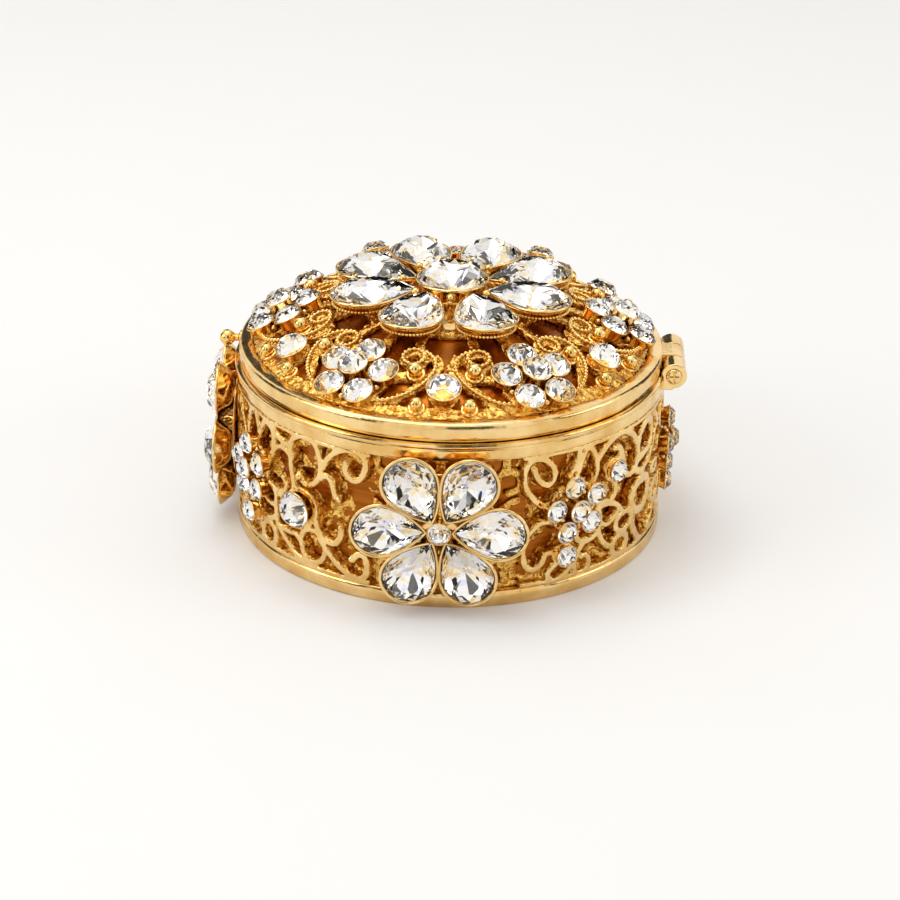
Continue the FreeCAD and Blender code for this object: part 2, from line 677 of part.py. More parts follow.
# Lid band, openwork dome and its liner
lid_profile = [(lid_in, lid_z), (lid_r - lid_edge, lid_z), (lid_r, lid_z + lid_edge),
               (lid_r, lid_top_z - lid_edge), (lid_r - lid_edge, lid_top_z), (lid_in + lid_edge, lid_top_z),
               (lid_in, lid_top_z - lid_edge)]
nodes["lid_band"] = revolved(lid_profile).cut(barrel_room).cut(tongue_room)

dome_origin = Vector(0, 0, dome_centre_z)


def dome_solid(radius, sink, top):
    ball = Part.makeSphere(dome_ball - sink, dome_origin)
    return ball.common(Part.makeCylinder(radius, top - lid_z, Vector(0, 0, lid_z)))


flower_z = dome_z(flower_seat_r)
arms = []
for k in range(cluster_count):
    for side in (1, -1):
        arms.append([(dome_r * share, side * a + 360 / cluster_count * k) for share, a in arm_shares])


def plan(radius, angle):
    return (radius * math.sin(math.radians(angle)), -radius * math.cos(math.radians(angle)))


plan_faces = [annulus_face(flower_seat_r + grille_ring_w, flower_seat_r, 0, 0),
              annulus_face(dome_r, dome_r - grille_ring_w, 0, 0)]
pad_r = lid_cluster_ring + grille_strip_w / 2
for k in range(cluster_count):
    beside = 360 / cluster_count * k
    ahead = beside + 180 / cluster_count
    spot = plan(lid_cluster_r, ahead)
    plan_faces.append(annulus_face(pad_r, pad_r - grille_strip_w, *spot))
    spoke = [plan(flower_seat_r, ahead), plan(dome_r - grille_ring_w, ahead)]
    plan_faces += strip_faces(spoke, grille_ring_w)
    single = plan(lid_single_r, beside)
    plan_faces.append(annulus_face(lid_single_d / 2, lid_single_d / 2 - grille_strip_w, *single))
    plan_faces += strip_faces([plan(lid_single_r, beside), plan(dome_r - grille_ring_w / 2, beside)],
                              grille_strip_w)
    for side in (1, -1):
        loop = plan(loop_ring_r, beside + side * loop_angle)
        plan_faces.append(annulus_face(loop_r + grille_strip_w / 2, loop_r - grille_strip_w / 2, *loop))
        aside = beside + side * loop_angle
        stem_line = [plan(flower_seat_r, aside), plan(loop_ring_r - loop_r, aside)]
        plan_faces += strip_faces(stem_line, grille_strip_w)
        pad = plan(lid_cluster_r, beside + side * 180 / cluster_count)
        plan_faces += strip_faces([plan(stud_ring_r, beside + side * stud_angle), pad], grille_strip_w)
        plan_faces.append(disc_face(stud_r, *plan(rim_stud_ring_r, beside + side * rim_stud_angle)))
for arm in arms:
    plan_faces += strip_faces([plan(r, a) for r, a in arm], grille_strip_w)
grille_prisms = [face.extrude(Vector(0, 0, dome_apex - lid_z)) for face in joined_faces(plan_faces)]
grille_block = raised(Part.makeCompound(grille_prisms), lid_z)
grille_shell = dome_solid(dome_r, 0, dome_apex).cut(Part.makeSphere(dome_ball - grille_t, dome_origin))
flower_room = Part.makeCylinder(flower_seat_r, dome_apex - lid_z, Vector(0, 0, lid_z))
nodes["lid_grille"] = grille_shell.common(grille_block).cut(flower_room)
liner_sink = grille_t + seat_gap
liner_top = flower_z - seat_gap
liner_inside = dome_solid(lid_r, liner_sink + lid_liner_t, liner_top - lid_liner_t)
nodes["lid_liner"] = dome_solid(dome_r, liner_sink, liner_top).cut(liner_inside)

# Large lid flower
offset = 180 / petal_count
bodies, holes, lid_reach = petal_flower(petal_len, petal_w, petal_count, offset, lid_flower_r, petal_cup_h)
centre_r = centre_stone_d / 2
centre_pocket = centre_cup_h - lip_over_girdle - girdle_t - centre_pavilion
base_plate = Part.makeCylinder(flower_seat_r, pocket_floor)
centre_cup = cup(centre_r + bezel_t, 0, centre_cup_h, centre_r + stone_gap, centre_pocket)
flower = bodies[0].multiFuse(bodies[1:] + [base_plate]).cut(Part.makeCompound(holes))
flower = flower.fuse(centre_cup).removeSplitter()
nodes["lid_flower_setting"] = raised(flower, flower_z)
lid_girdle = flower_z + petal_cup_h - lip_over_girdle
pears = petal_stones(petal_len, petal_w, petal_count, offset, lid_reach, lid_girdle, petal_crown,
                     petal_pavilion)
nodes["lid_flower_pears"] = Part.makeCompound(pears)
centre = stone(round_outline(centre_stone_d), 0, centre_crown, centre_pavilion)
nodes["lid_centre_stone"] = raised(centre, flower_z + centre_cup_h - lip_over_girdle)
bead_z = flower_z + petal_cup_h + centre_bead_r + seat_gap
beads = []
for k in range(petal_count):
    x, y = plan(centre_bead_ring_r, 360 / petal_count * k)
    beads.append(Part.makeSphere(centre_bead_r, Vector(x, y, bead_z)))
nodes["lid_centre_beads"] = Part.makeCompound(beads)

# Clusters, single stones, studs and wires round the lid
cluster = cluster_setting(lid_cluster_d, lid_cluster_ring, lid_cluster_h, lid_cluster_rise, 0)
stones = cluster_stones(lid_cluster_d, lid_cluster_ring, lid_cluster_h, lid_cluster_rise, 0)
single_cup = round_cup(lid_single_d, cluster_bezel, lid_single_h)
single_stone = raised(round_stone(lid_single_d), lid_single_h - lip_over_girdle)
stem_r = stud_r * stud_stem_share
stem_top = stud_r * (1 - stud_sink_share)
stud_ball = Part.makeSphere(stud_r, Vector(0, 0, seat_gap + stem_top + stud_r * stud_sink_share))
stud = stud_ball.fuse(Part.makeCylinder(stem_r, stem_top, Vector(0, 0, seat_gap))).removeSplitter()
loop = Part.makeTorus(loop_r, wire_r, Vector(0, 0, wire_r + seat_gap))
settings, stone_list, cups, single_list, studs, rim_studs, loops, wires = [], [], [], [], [], [], [], []
for k in range(cluster_count):
    beside = 360 / cluster_count * k
    place = on_dome(lid_cluster_r, beside + 180 / cluster_count)
    settings.append(turned(place, cluster))
    stone_list += [turned(place, one) for one in stones]
    place = on_dome(lid_single_r, beside)
    cups.append(turned(place, single_cup))
    single_list.append(turned(place, single_stone))
    for side in (1, -1):
        studs.append(turned(on_dome(stud_ring_r, beside + side * stud_angle), stud))
        rim_studs.append(turned(on_dome(rim_stud_ring_r, beside + side * rim_stud_angle), stud))
        loops.append(turned(on_dome(loop_ring_r, beside + side * loop_angle), loop))
for arm in arms:
    spots = [on_dome(r, a).multVec(Vector(0, 0, wire_r + seat_gap)) for r, a in arm]
    path = curve_edge(spots)
    start = path.valueAt(path.FirstParameter)
    heading = path.tangentAt(path.FirstParameter)
    profile = Part.Wire([Part.makeCircle(wire_r, start, heading)])
    wires.append(Part.Wire([path]).makePipeShell([profile], True, False))
nodes["lid_cluster_settings"] = Part.makeCompound(settings)
nodes["lid_cluster_stones"] = Part.makeCompound(stone_list)
nodes["lid_single_cups"] = Part.makeCompound(cups)
nodes["lid_single_stones"] = Part.makeCompound(single_list)
nodes["lid_studs"] = Part.makeCompound(studs)
nodes["lid_rim_studs"] = Part.makeCompound(rim_studs)
nodes["lid_bead_loops"] = Part.makeCompound(loops)
nodes["lid_bead_wires"] = Part.makeCompound(wires)

# Thumb ball on the lid band
thumb_z = lid_z + lid_band_h / 2
thumb_x = -lid_r - seat_gap - thumb_stem - thumb_r
thumb_stem_len = thumb_stem + thumb_r
thumb_rod = Part.makeCylinder(thumb_stem_r, thumb_stem_len, Vector(thumb_x, 0, thumb_z), Vector(1, 0, 0))
nodes["thumb_ball"] = Part.makeSphere(thumb_r, Vector(thumb_x, 0, thumb_z)).fuse(thumb_rod).removeSplitter()

for name, shape in nodes.items():
    shape.exportStep("parts/" + name + ".step")
    print(name, len(shape.Solids), round(shape.Volume, 2), shape.isValid())
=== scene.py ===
import bmesh
import bpy
import math
import random
from mathutils import Matrix, Vector, noise


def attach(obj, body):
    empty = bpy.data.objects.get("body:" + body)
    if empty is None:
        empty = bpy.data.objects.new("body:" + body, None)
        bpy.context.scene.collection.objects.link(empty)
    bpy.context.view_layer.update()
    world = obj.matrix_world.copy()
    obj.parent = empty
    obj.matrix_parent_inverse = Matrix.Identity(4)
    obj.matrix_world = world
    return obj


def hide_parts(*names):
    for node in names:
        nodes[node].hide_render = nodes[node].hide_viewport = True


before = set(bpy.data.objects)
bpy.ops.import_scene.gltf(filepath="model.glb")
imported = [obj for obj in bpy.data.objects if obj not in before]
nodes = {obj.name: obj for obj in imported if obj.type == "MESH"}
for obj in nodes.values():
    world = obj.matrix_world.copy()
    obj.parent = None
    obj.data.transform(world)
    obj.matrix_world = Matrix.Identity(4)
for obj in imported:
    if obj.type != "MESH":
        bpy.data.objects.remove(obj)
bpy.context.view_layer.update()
scene = bpy.context.scene
scene.view_settings.view_transform = "Standard"
mm = 0.001  # everything below is written in millimetres
dice = random.Random(11)
print("box frame loaded:", len(nodes), "CAD nodes")

# camera, where the photograph was taken from
shot = {
    "lens": 96.0, "sensor": 36, "clip": (0.01, 20), "distance": 369.4, "azimuth": 2.0, "elevation": 26.73,
    "yaw": 0.02, "pitch": 1.34, "roll": 1.09,
}


def swung(first, second, angle):
    c, s = math.cos(angle), math.sin(angle)
    return first * c + second * s, second * c - first * s


def placeCamera():
    az, el = math.radians(shot["azimuth"]), math.radians(shot["elevation"])
    yaw, pitch, roll = (math.radians(shot[k]) for k in ("yaw", "pitch", "roll"))
    back = Vector((math.sin(az) * math.cos(el), -math.cos(az) * math.cos(el), math.sin(el)))
    right = Vector((math.cos(az), math.sin(az), 0))
    ahead = -back
    up = right.cross(ahead)
    ahead, right = swung(ahead, right, yaw)
    ahead, up = swung(ahead, up, pitch)
    right, up = swung(right, up, roll)
    data = bpy.data.cameras.new("photoCamera")
    data.sensor_width = shot["sensor"]
    data.lens = shot["lens"]
    data.clip_start, data.clip_end = shot["clip"]
    camera = bpy.data.objects.new("photoCamera", data)
    scene.collection.objects.link(camera)
    m = Matrix.Identity(4)
    for row in range(3):
        m[row][0], m[row][1], m[row][2] = right[row], up[row], -ahead[row]
        m[row][3] = back[row] * shot["distance"] * mm
    camera.matrix_world = m
    scene.camera = camera


placeCamera()

# node helpers for the finishes


def newFinish(name):
    finish = bpy.data.materials.new(name)
    finish.use_nodes = True
    tree = finish.node_tree
    return finish, tree, tree.nodes["Principled BSDF"]


def textureAt(tree, kind, scale, **values):
    coords = tree.nodes.new("ShaderNodeTexCoord")
    stretch = tree.nodes.new("ShaderNodeMapping")
    stretch.inputs["Scale"].default_value = scale if isinstance(scale, tuple) else (scale, scale, scale)
    tree.links.new(coords.outputs["Object"], stretch.inputs["Vector"])
    texture = tree.nodes.new("ShaderNodeTex" + kind)
    tree.links.new(stretch.outputs["Vector"], texture.inputs["Vector"])
    texture.inputs["Scale"].default_value = 1
    for key, value in values.items():
        texture.inputs[key].default_value = value
    return texture


def rampFrom(tree, socket, stops):
    ramp = tree.nodes.new("ShaderNodeValToRGB")
    while len(ramp.color_ramp.elements) < len(stops):
        ramp.color_ramp.elements.new(0.5)
    for element, (where, colour) in zip(ramp.color_ramp.elements, stops):
        element.position = where
        element.color = (*colour, 1)
    tree.links.new(socket, ramp.inputs["Fac"])
    return ramp.outputs["Color"]


def rangeFrom(tree, socket, low, high, start, end):
    node = tree.nodes.new("ShaderNodeMapRange")
    node.inputs["From Min"].default_value = start
    node.inputs["From Max"].default_value = end
    node.inputs["To Min"].default_value = low
    node.inputs["To Max"].default_value = high
    tree.links.new(socket, node.inputs["Value"])
    return node.outputs["Result"]


def bumpFrom(tree, height, strength, distance, under=None):
    bump = tree.nodes.new("ShaderNodeBump")
    bump.inputs["Strength"].default_value = strength
    bump.inputs["Distance"].default_value = distance * mm
    tree.links.new(height, bump.inputs["Height"])
    if under is not None:
        tree.links.new(under, bump.inputs["Normal"])
    return bump.outputs["Normal"]


def colourFrom(tree, bsdf, texture, stops):
    tree.links.new(rampFrom(tree, texture.outputs["Fac"], stops), bsdf.inputs["Base Color"])


def roughFrom(tree, bsdf, texture, rough, edge=(0.3, 0.7)):
    tree.links.new(rangeFrom(tree, texture.outputs["Fac"], *rough, *edge), bsdf.inputs["Roughness"])


goldLook = {
    # dull and bright colour of the plating, the beads and the raw casting, whose dark end is painted recess
    # shade
    "plain": ((0.80, 0.49, 0.155), (0.97, 0.70, 0.32)),
    "bead": ((0.84, 0.50, 0.12), (1.0, 0.72, 0.27)),
    "castAndShade": ((0.42, 0.155, 0.010), (1.0, 0.64, 0.16)),
    "plainStops": (0.30, 0.62), "castStops": (0.36, 0.56), "castEdge": (0.35, 0.65),
    "cloud": 240, "haze": 900, "pits": 5200, "pitEdge": (0.26, 0.34),
    "pitBump": (0.25, 0.03), "lumpStrength": 0.8,  # a bump is strength and depth
}


def polishedGold(name, rippleSize, rippleDepth, rough, tone="plain"):
    # thin plating: soft ripples in the shine, faint cloudy patches, small pits
    finish, tree, bsdf = newFinish(name)
    bsdf.inputs["Metallic"].default_value = 1
    cloud = textureAt(tree, "Noise", goldLook["cloud"], Detail=3)
    colourFrom(tree, bsdf, cloud, list(zip(goldLook["plainStops"], goldLook[tone])))
    haze = textureAt(tree, "Noise", goldLook["haze"], Detail=2)
    roughFrom(tree, bsdf, haze, rough)
    ripple = textureAt(tree, "Noise", 1000 / rippleSize, Detail=2)
    pits = textureAt(tree, "Noise", goldLook["pits"], Detail=1)
    spots = rangeFrom(tree, pits.outputs["Fac"], 0, 1, *goldLook["pitEdge"])
    first = bumpFrom(tree, ripple.outputs["Fac"], 1.0, rippleDepth)
    tree.links.new(bumpFrom(tree, spots, *goldLook["pitBump"], first), bsdf.inputs["Normal"])
    return finish


def castShadedGold(name, grainSize, lumpSize, rough, depth):
    # recesses as they came from the mould: grainy, and deeper in colour as painted shade
    finish, tree, bsdf = newFinish(name)
    bsdf.inputs["Metallic"].default_value = 1
    grain = textureAt(tree, "Noise", 1000 / grainSize, Detail=4, Roughness=0.6)
    colourFrom(tree, bsdf, grain, list(zip(goldLook["castStops"], goldLook["castAndShade"])))
    roughFrom(tree, bsdf, grain, rough[::-1], goldLook["castEdge"])
    lumps = textureAt(tree, "Voronoi", 1000 / lumpSize)
    first = bumpFrom(tree, grain.outputs["Fac"], 1.0, depth[0])
    second = bumpFrom(tree, lumps.outputs["Distance"], goldLook["lumpStrength"], depth[1], first)
    tree.links.new(second, bsdf.inputs["Normal"])
    return finish


linerLook = {
    "tones": [(0.28, (0.27, 0.064, 0.001)), (0.52, (0.37, 0.102, 0.002)), (0.74, (0.47, 0.15, 0.005))],
    "rough": (0.20, 0.34), "metallic": 0.92, "coat": 0.12, "coatRough": 0.12,
    "wave": 160, "waveBump": (0.8, 0.35), "lineBump": (0.2, 0.04),
}


def amberLiner(name, streak):
    # lacquered sheet with fine brushed lines
    finish, tree, bsdf = newFinish(name)
    bsdf.inputs["Metallic"].default_value = linerLook["metallic"]
    bsdf.inputs["Coat Weight"].default_value = linerLook["coat"]
    bsdf.inputs["Coat Roughness"].default_value = linerLook["coatRough"]
    lines = textureAt(tree, "Noise", streak, Detail=3, Roughness=0.5)
    colourFrom(tree, bsdf, lines, linerLook["tones"])
    roughFrom(tree, bsdf, lines, linerLook["rough"])
    wave = textureAt(tree, "Noise", linerLook["wave"], Detail=1)
    first = bumpFrom(tree, wave.outputs["Fac"], *linerLook["waveBump"])
    tree.links.new(bumpFrom(tree, lines.outputs["Fac"], *linerLook["lineBump"], first), bsdf.inputs["Normal"])
    return finish


glassLook = {
    "ior": 1.42, "cloud": 420, "tones": [(0.35, (0.985, 0.97, 0.945)), (0.6, (1.0, 1.0, 1.0))],
    "paintedFire": 700, "haze": 1500, "foilRough": (0.02, 0.07),
    # silver foil tones with flecks of painted violet fire and painted amber reflection
    "foilAndPaintedFireTones": [(0.30, (0.80, 0.80, 0.98)), (0.36, (0.95, 0.94, 0.93)),
                  (0.55, (0.97, 0.955, 0.93)), (0.65, (0.98, 0.80, 0.50))],
}


def crystalGlass(name):
    # lead crystal, with a few faint inner clouds
    finish, tree, bsdf = newFinish(name)
    bsdf.inputs["Transmission Weight"].default_value = 1
    bsdf.inputs["IOR"].default_value = glassLook["ior"]
    bsdf.inputs["Roughness"].default_value = 0
    cloud = textureAt(tree, "Noise", glassLook["cloud"], Detail=2)
    colourFrom(tree, bsdf, cloud, glassLook["tones"])
    return finish


def foilBack(name):
    # silvered underside of each stone, with small flecks of painted violet fire and painted amber reflection
    finish, tree, bsdf = newFinish(name)
    bsdf.inputs["Metallic"].default_value = 1
    paintedFire = textureAt(tree, "Noise", glassLook["paintedFire"], Detail=1)
    colourFrom(tree, bsdf, paintedFire, glassLook["foilAndPaintedFireTones"])
    haze = textureAt(tree, "Noise", glassLook["haze"], Detail=1)
    roughFrom(tree, bsdf, haze, glassLook["foilRough"])
    return finish


bandGold = polishedGold("bandGold", rippleSize=4.0, rippleDepth=0.16, rough=(0.10, 0.22))
scrollGold = polishedGold("scrollGold", rippleSize=2.2, rippleDepth=0.45, rough=(0.05, 0.12))
settingGold = polishedGold("settingGold", rippleSize=1.6, rippleDepth=0.05, rough=(0.08, 0.18))
beadGold = polishedGold("beadGold", rippleSize=1.2, rippleDepth=0.03, rough=(0.05, 0.12), tone="bead")
# raw finishes for the recesses: their deeper colour is painted shade
rawShadedGold = castShadedGold("rawShadedGold", grainSize=0.8, lumpSize=0.6, rough=(0.05, 0.22), depth=(0.38, 0.15))
lidRawShadedGold = castShadedGold("lidRawShadedGold", grainSize=1.0, lumpSize=0.75, rough=(0.05, 0.18), depth=(0.40, 0.16))
wallAmber = amberLiner("wallAmber", streak=(45, 45, 1500))
lidAmber = amberLiner("lidAmber", streak=(260, 260, 500))
crystal = crystalGlass("crystal")
foil = foilBack("foil")
print("finishes mixed")

# places shared by the pieces (millimetres and degrees, as in the CAD)
boxForm = {
    "wallR": 32.0, "footH": 2.2, "wallH": 20.8, "rimZ": 23.0, "lidZ": 25.7, "lidR": 31.5,
    "domeR": 29.25, "domeBall": 58.74, "domeLow": -22.742, "hingeX": 33.0, "hingeZ": 25.55,
}


def clamp(value):
    return max(0.0, min(1.0, value))


def twoGrains(p, size, share, finer):
    return noise.noise(p / size) + share * noise.noise(p / size * finer)


def axesAt(point, along, up):
    out = along.cross(up)
    m = Matrix.Identity(4)
    for row in range(3):
        m[row][0], m[row][1], m[row][2], m[row][3] = along[row], up[row], out[row], point[row]
    return m


def wallPlace(radius, angle, height):
    a = math.radians(angle)
    return axesAt(Vector((radius * math.sin(a), -radius * math.cos(a), height)),
                  Vector((math.cos(a), math.sin(a), 0)), Vector((0, 0, 1)))


def wallLevel(percent):
    return boxForm["footH"] + boxForm["wallH"] * percent / 100


def domeZ(radius):
    return boxForm["domeLow"] + math.sqrt(boxForm["domeBall"] ** 2 - radius ** 2)


def domePlace(radius, angle):
    a = math.radians(angle)
    tilt = math.asin(radius / boxForm["domeBall"])
    up = Vector((-math.cos(tilt) * math.sin(a), math.cos(tilt) * math.cos(a), math.sin(tilt)))
    return axesAt(Vector((radius * math.sin(a), -radius * math.cos(a), domeZ(radius))),
                  Vector((math.cos(a), math.sin(a), 0)), up)


def moved(x=0, y=0, z=0):
    return Matrix.Translation((x, y, z))


def smoothLine(points, steps):
    # rounded line through the points
    line = []
    for i in range(len(points) - 1):
        b, c = points[i], points[i + 1]
        a = points[i - 1] if i else 2 * b - c
        d = points[i + 2] if i + 2 < len(points) else 2 * c - b
        bend, twist = 2 * a - 5 * b + 4 * c - d, 3 * b - a - 3 * c + d
        for k in range(steps):
            t = k / steps
            line.append((2 * b + (c - a) * t + bend * t * t + twist * t ** 3) / 2)
    line.append(points[-1])
    return line


def evenSpots(line, pitch, closed=False):
    # points at an even spacing along a line
    runs = list(line) + ([line[0]] if closed else [])
    total = sum((b - a).length for a, b in zip(runs, runs[1:]))
    count = max(2, round(total / pitch))
    step = total / count
    spots, walked, target = [], 0.0, 0.0
    for a, b in zip(runs, runs[1:]):
        run = (b - a).length
        while run > 0 and target <= walked + run + 1e-9 and len(spots) < count + (0 if closed else 1):
            spots.append(a.lerp(b, (target - walked) / run))
            target += step
        walked += run
    return spots


# mesh helpers


def newHeap():
    return {"verts": [], "faces": [], "mats": []}


def addRows(heap, rows):
    # rows of points joined into a skin; a row of one point closes it
    starts = []
    for row in rows:
        starts.append(len(heap["verts"]))
        heap["verts"] += row
    for i in range(len(rows) - 1):
        a, b = rows[i], rows[i + 1]
        s, t = starts[i], starts[i + 1]
        count = max(len(a), len(b))
        for k in range(count):
            n = (k + 1) % count
            if len(a) == 1:
                face = (s, t + n, t + k)
            elif len(b) == 1:
                face = (s + k, s + n, t)
            else:
                face = (s + k, s + n, t + n, t + k)
            heap["faces"].append(face)
            heap["mats"].append(0)


def addLathe(heap, place, profile, steps):
    rows = []
    for r, z in profile:
        if r < 1e-6:
            rows.append([place @ Vector((0, 0, z))])
        else:
            turn = [2 * math.pi * k / steps for k in range(steps)]
            rows.append([place @ Vector((r * math.cos(a), r * math.sin(a), z)) for a in turn])
    addRows(heap, rows)


def ballShape(level):
    bm = bmesh.new()
    bmesh.ops.create_icosphere(bm, subdivisions=level, radius=1)
    shape = ([v.co.copy() for v in bm.verts], [[v.index for v in f.verts] for f in bm.faces])
    bm.free()
    return shape


beadShape, ballFine = ballShape(2), ballShape(3)


def addBall(heap, centre, radius, shape=beadShape):
    verts, faces = shape
    start = len(heap["verts"])
    heap["verts"] += [centre + v * radius for v in verts]
    heap["faces"] += [tuple(start + i for i in f) for f in faces]
    heap["mats"] += [0] * len(faces)


def addTube(heap, line, radius, steps, closed=False):
    rows = []
    count = len(line)
    side = None
    for i, p in enumerate(line):
        before = line[i - 1] if i or closed else line[0]
        after = line[(i + 1) % count] if i + 1 < count or closed else line[-1]
        run = (after - before).normalized()
        if side is None:
            side = run.orthogonal().normalized()
        side = (side - run * side.dot(run)).normalized()
        other = run.cross(side)
        turn = [2 * math.pi * k / steps for k in range(steps)]
        rows.append([p + (side * math.cos(a) + other * math.sin(a)) * radius for a in turn])
    if closed:
        rows.append(rows[0])
    else:
        rows = [[line[0]]] + rows + [[line[-1]]]
    addRows(heap, rows)


def settle(mesh):
    bm = bmesh.new()
    bm.from_mesh(mesh)
    bmesh.ops.remove_doubles(bm, verts=bm.verts, dist=1e-8)
    bmesh.ops.recalc_face_normals(bm, faces=bm.faces)
    bm.to_mesh(mesh)
    bm.free()


def addPiece(name, mesh, finishes, body, stands=()):
    for finish in finishes:
        mesh.materials.append(finish)
    piece = bpy.data.objects.new(name, mesh)
    scene.collection.objects.link(piece)
    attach(piece, body)
    if stands:
        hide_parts(*stands)
    print("made", name, len(mesh.polygons), "faces")
    return piece


def heapPiece(name, heap, finishes, body, stands=()):
    mesh = bpy.data.meshes.new(name)
    mesh.from_pydata([v * mm for v in heap["verts"]], [], heap["faces"])
    mesh.polygons.foreach_set("material_index", heap["mats"])
    settle(mesh)
    mesh.polygons.foreach_set("use_smooth", [True] * len(mesh.polygons))
    mesh.update()
    return addPiece(name, mesh, finishes, body, stands)


def castMesh(node, voxel, rounds, keep, extra=None):
    # the CAD solid melted into one skin with soft edges, in millimetres
    source = nodes[node].data.copy()
    source.materials.clear()
    source.transform(Matrix.Scale(1000, 4))
    rough = bpy.data.objects.new(node + "Rough", source)
    scene.collection.objects.link(rough)
    if extra is not None:
        bm = bmesh.new()
        bm.from_mesh(source)
        more = bpy.data.meshes.new("more")
        more.from_pydata(extra["verts"], [], extra["faces"])
        bm.from_mesh(more)
        bm.to_mesh(source)
        bm.free()
        bpy.data.meshes.remove(more)
    melt = rough.modifiers.new("melt", "REMESH")
    melt.mode = "VOXEL"
    melt.voxel_size = voxel
    soften = rough.modifiers.new("soften", "SMOOTH")
    soften.factor = 0.5
    soften.iterations = rounds
    thin = rough.modifiers.new("thin", "DECIMATE")
    thin.ratio = keep
    graph = bpy.context.evaluated_depsgraph_get()
    mesh = bpy.data.meshes.new_from_object(rough.evaluated_get(graph))
    bpy.data.objects.remove(rough)
    bpy.data.meshes.remove(source)
    return mesh


def reshape(mesh, shift):
    # every point moved at once, from where it was
    spots = [v.co.copy() for v in mesh.vertices]
    normals = [n.vector.copy() for n in mesh.vertex_normals]
    flat = []
    for p, n in zip(spots, normals):
        flat.extend(shift(p, n))
    mesh.vertices.foreach_set("co", flat)
    mesh.update()


def finishCast(mesh):
    mesh.transform(Matrix.Scale(mm, 4))
    mesh.polygons.foreach_set("use_smooth", [True] * len(mesh.polygons))
    mesh.update()
    return mesh


# plain bands, lathed with soft edges and a hand-polished wobble
bandLook = {
    "steps": 480, "wobble": 0.035, "wobbleSize": 7.0, "wobbleTall": 3, "plainTo": 30.5,
    # solder joints in the foot band: where, how deep, and the dip's shape (degrees aside, share of the depth)
    "jointAngles": [20.9, 56.4, 141.0, 212.0, 301.0], "jointDepth": 0.07, "jointRoom": 0.4,
    "jointShape": [(-0.3, 0), (-0.12, 0.3), (0, 1), (0.12, 0.3), (0.3, 0)],
    # radius and height
    "footProfile": [(30.4, 0.05), (31.75, 0.0), (32.0, 0.08), (32.15, 0.35), (32.18, 0.75), (32.16, 1.5),
                    (32.1, 1.95), (31.98, 2.16), (31.8, 2.28), (31.4, 2.3), (30.4, 2.3)],
    "topProfile": [(30.4, 22.86), (31.6, 22.84), (31.86, 22.9), (31.98, 23.1), (32.05, 23.6), (32.1, 24.3),
                   (32.1, 24.58), (32.03, 24.68), (32.03, 24.74), (32.11, 24.86), (32.18, 25.0),
                   (32.17, 25.2), (32.05, 25.4), (31.8, 25.47), (30.4, 25.47)],
    "lidProfile": [(29.3, 25.6), (31.1, 25.58), (31.36, 25.64), (31.48, 25.82), (31.5, 26.4), (31.5, 27.3),
                   (31.44, 27.78), (31.26, 28.06), (30.98, 28.2), (30.3, 28.27), (29.75, 28.3), (29.5, 28.24),
                   (29.34, 28.05), (29.3, 27.6)],
}
barrelRoom = {"r": 2.15, "start": -6.3, "length": 12.6, "steps": 64, "crease": 40}


def bandPiece(name, profile, body, stands, joints=False, notch=False):
    look = bandLook
    angles = [360 * k / look["steps"] for k in range(look["steps"])]
    cuts = {}
    if joints:
        for middle in look["jointAngles"]:
            angles = [a for a in angles if abs(a - middle) > look["jointRoom"]]
            for aside, depth in look["jointShape"]:
                angles.append(middle + aside)
                cuts[middle + aside] = depth * look["jointDepth"]
    angles.sort()
    rows = []
    size = look["wobbleSize"]
    for r, z in profile:
        row = []
        for a in angles:
            x, y = math.sin(math.radians(a)), -math.cos(math.radians(a))
            push = 0
            if r > look["plainTo"]:  # only the outer side is uneven
                spot = Vector((x * r / size, y * r / size, z / look["wobbleTall"]))
                push = noise.noise(spot) * look["wobble"] - cuts.get(a, 0)
            row.append(Vector((x * (r + push), y * (r + push), z)))
        rows.append(row)
    rows.append(rows[0])
    heap = newHeap()
    addRows(heap, rows)
    piece = heapPiece(name, heap, [bandGold], body, stands)
    if notch:
        cutHinge(piece)


def cutHinge(piece):
    # room for the hinge barrel
    heap = newHeap()
    r, length = barrelRoom["r"], barrelRoom["length"]
    start = moved(boxForm["hingeX"], barrelRoom["start"], boxForm["hingeZ"])
    profile = [(0, 0), (r, 0), (r, length), (0, length)]
    addLathe(heap, start @ Matrix.Rotation(-math.pi / 2, 4, "X"), profile, barrelRoom["steps"])
    mesh = bpy.data.meshes.new("barrelRoom")
    mesh.from_pydata([v * mm for v in heap["verts"]], [], heap["faces"])
    settle(mesh)
    cutter = bpy.data.objects.new("barrelRoom", mesh)
    scene.collection.objects.link(cutter)
    bite = piece.modifiers.new("bite", "BOOLEAN")
    bite.operation = "DIFFERENCE"
    bite.solver = "EXACT"
    bite.object = cutter
    graph = bpy.context.evaluated_depsgraph_get()
    cut = bpy.data.meshes.new_from_object(piece.evaluated_get(graph))
    piece.modifiers.clear()
    old = piece.data
    piece.data = cut
    cut.set_sharp_from_angle(angle=math.radians(barrelRoom["crease"]))
    bpy.data.meshes.remove(old)
    bpy.data.objects.remove(cutter)


bandPiece("footBand", bandLook["footProfile"], "base", ["foot_band"], joints=True)
bandPiece("topBand", bandLook["topProfile"], "base", ["top_band"], notch=True)
bandPiece("lidBand", bandLook["lidProfile"], "lid", ["lid_band"], notch=True)

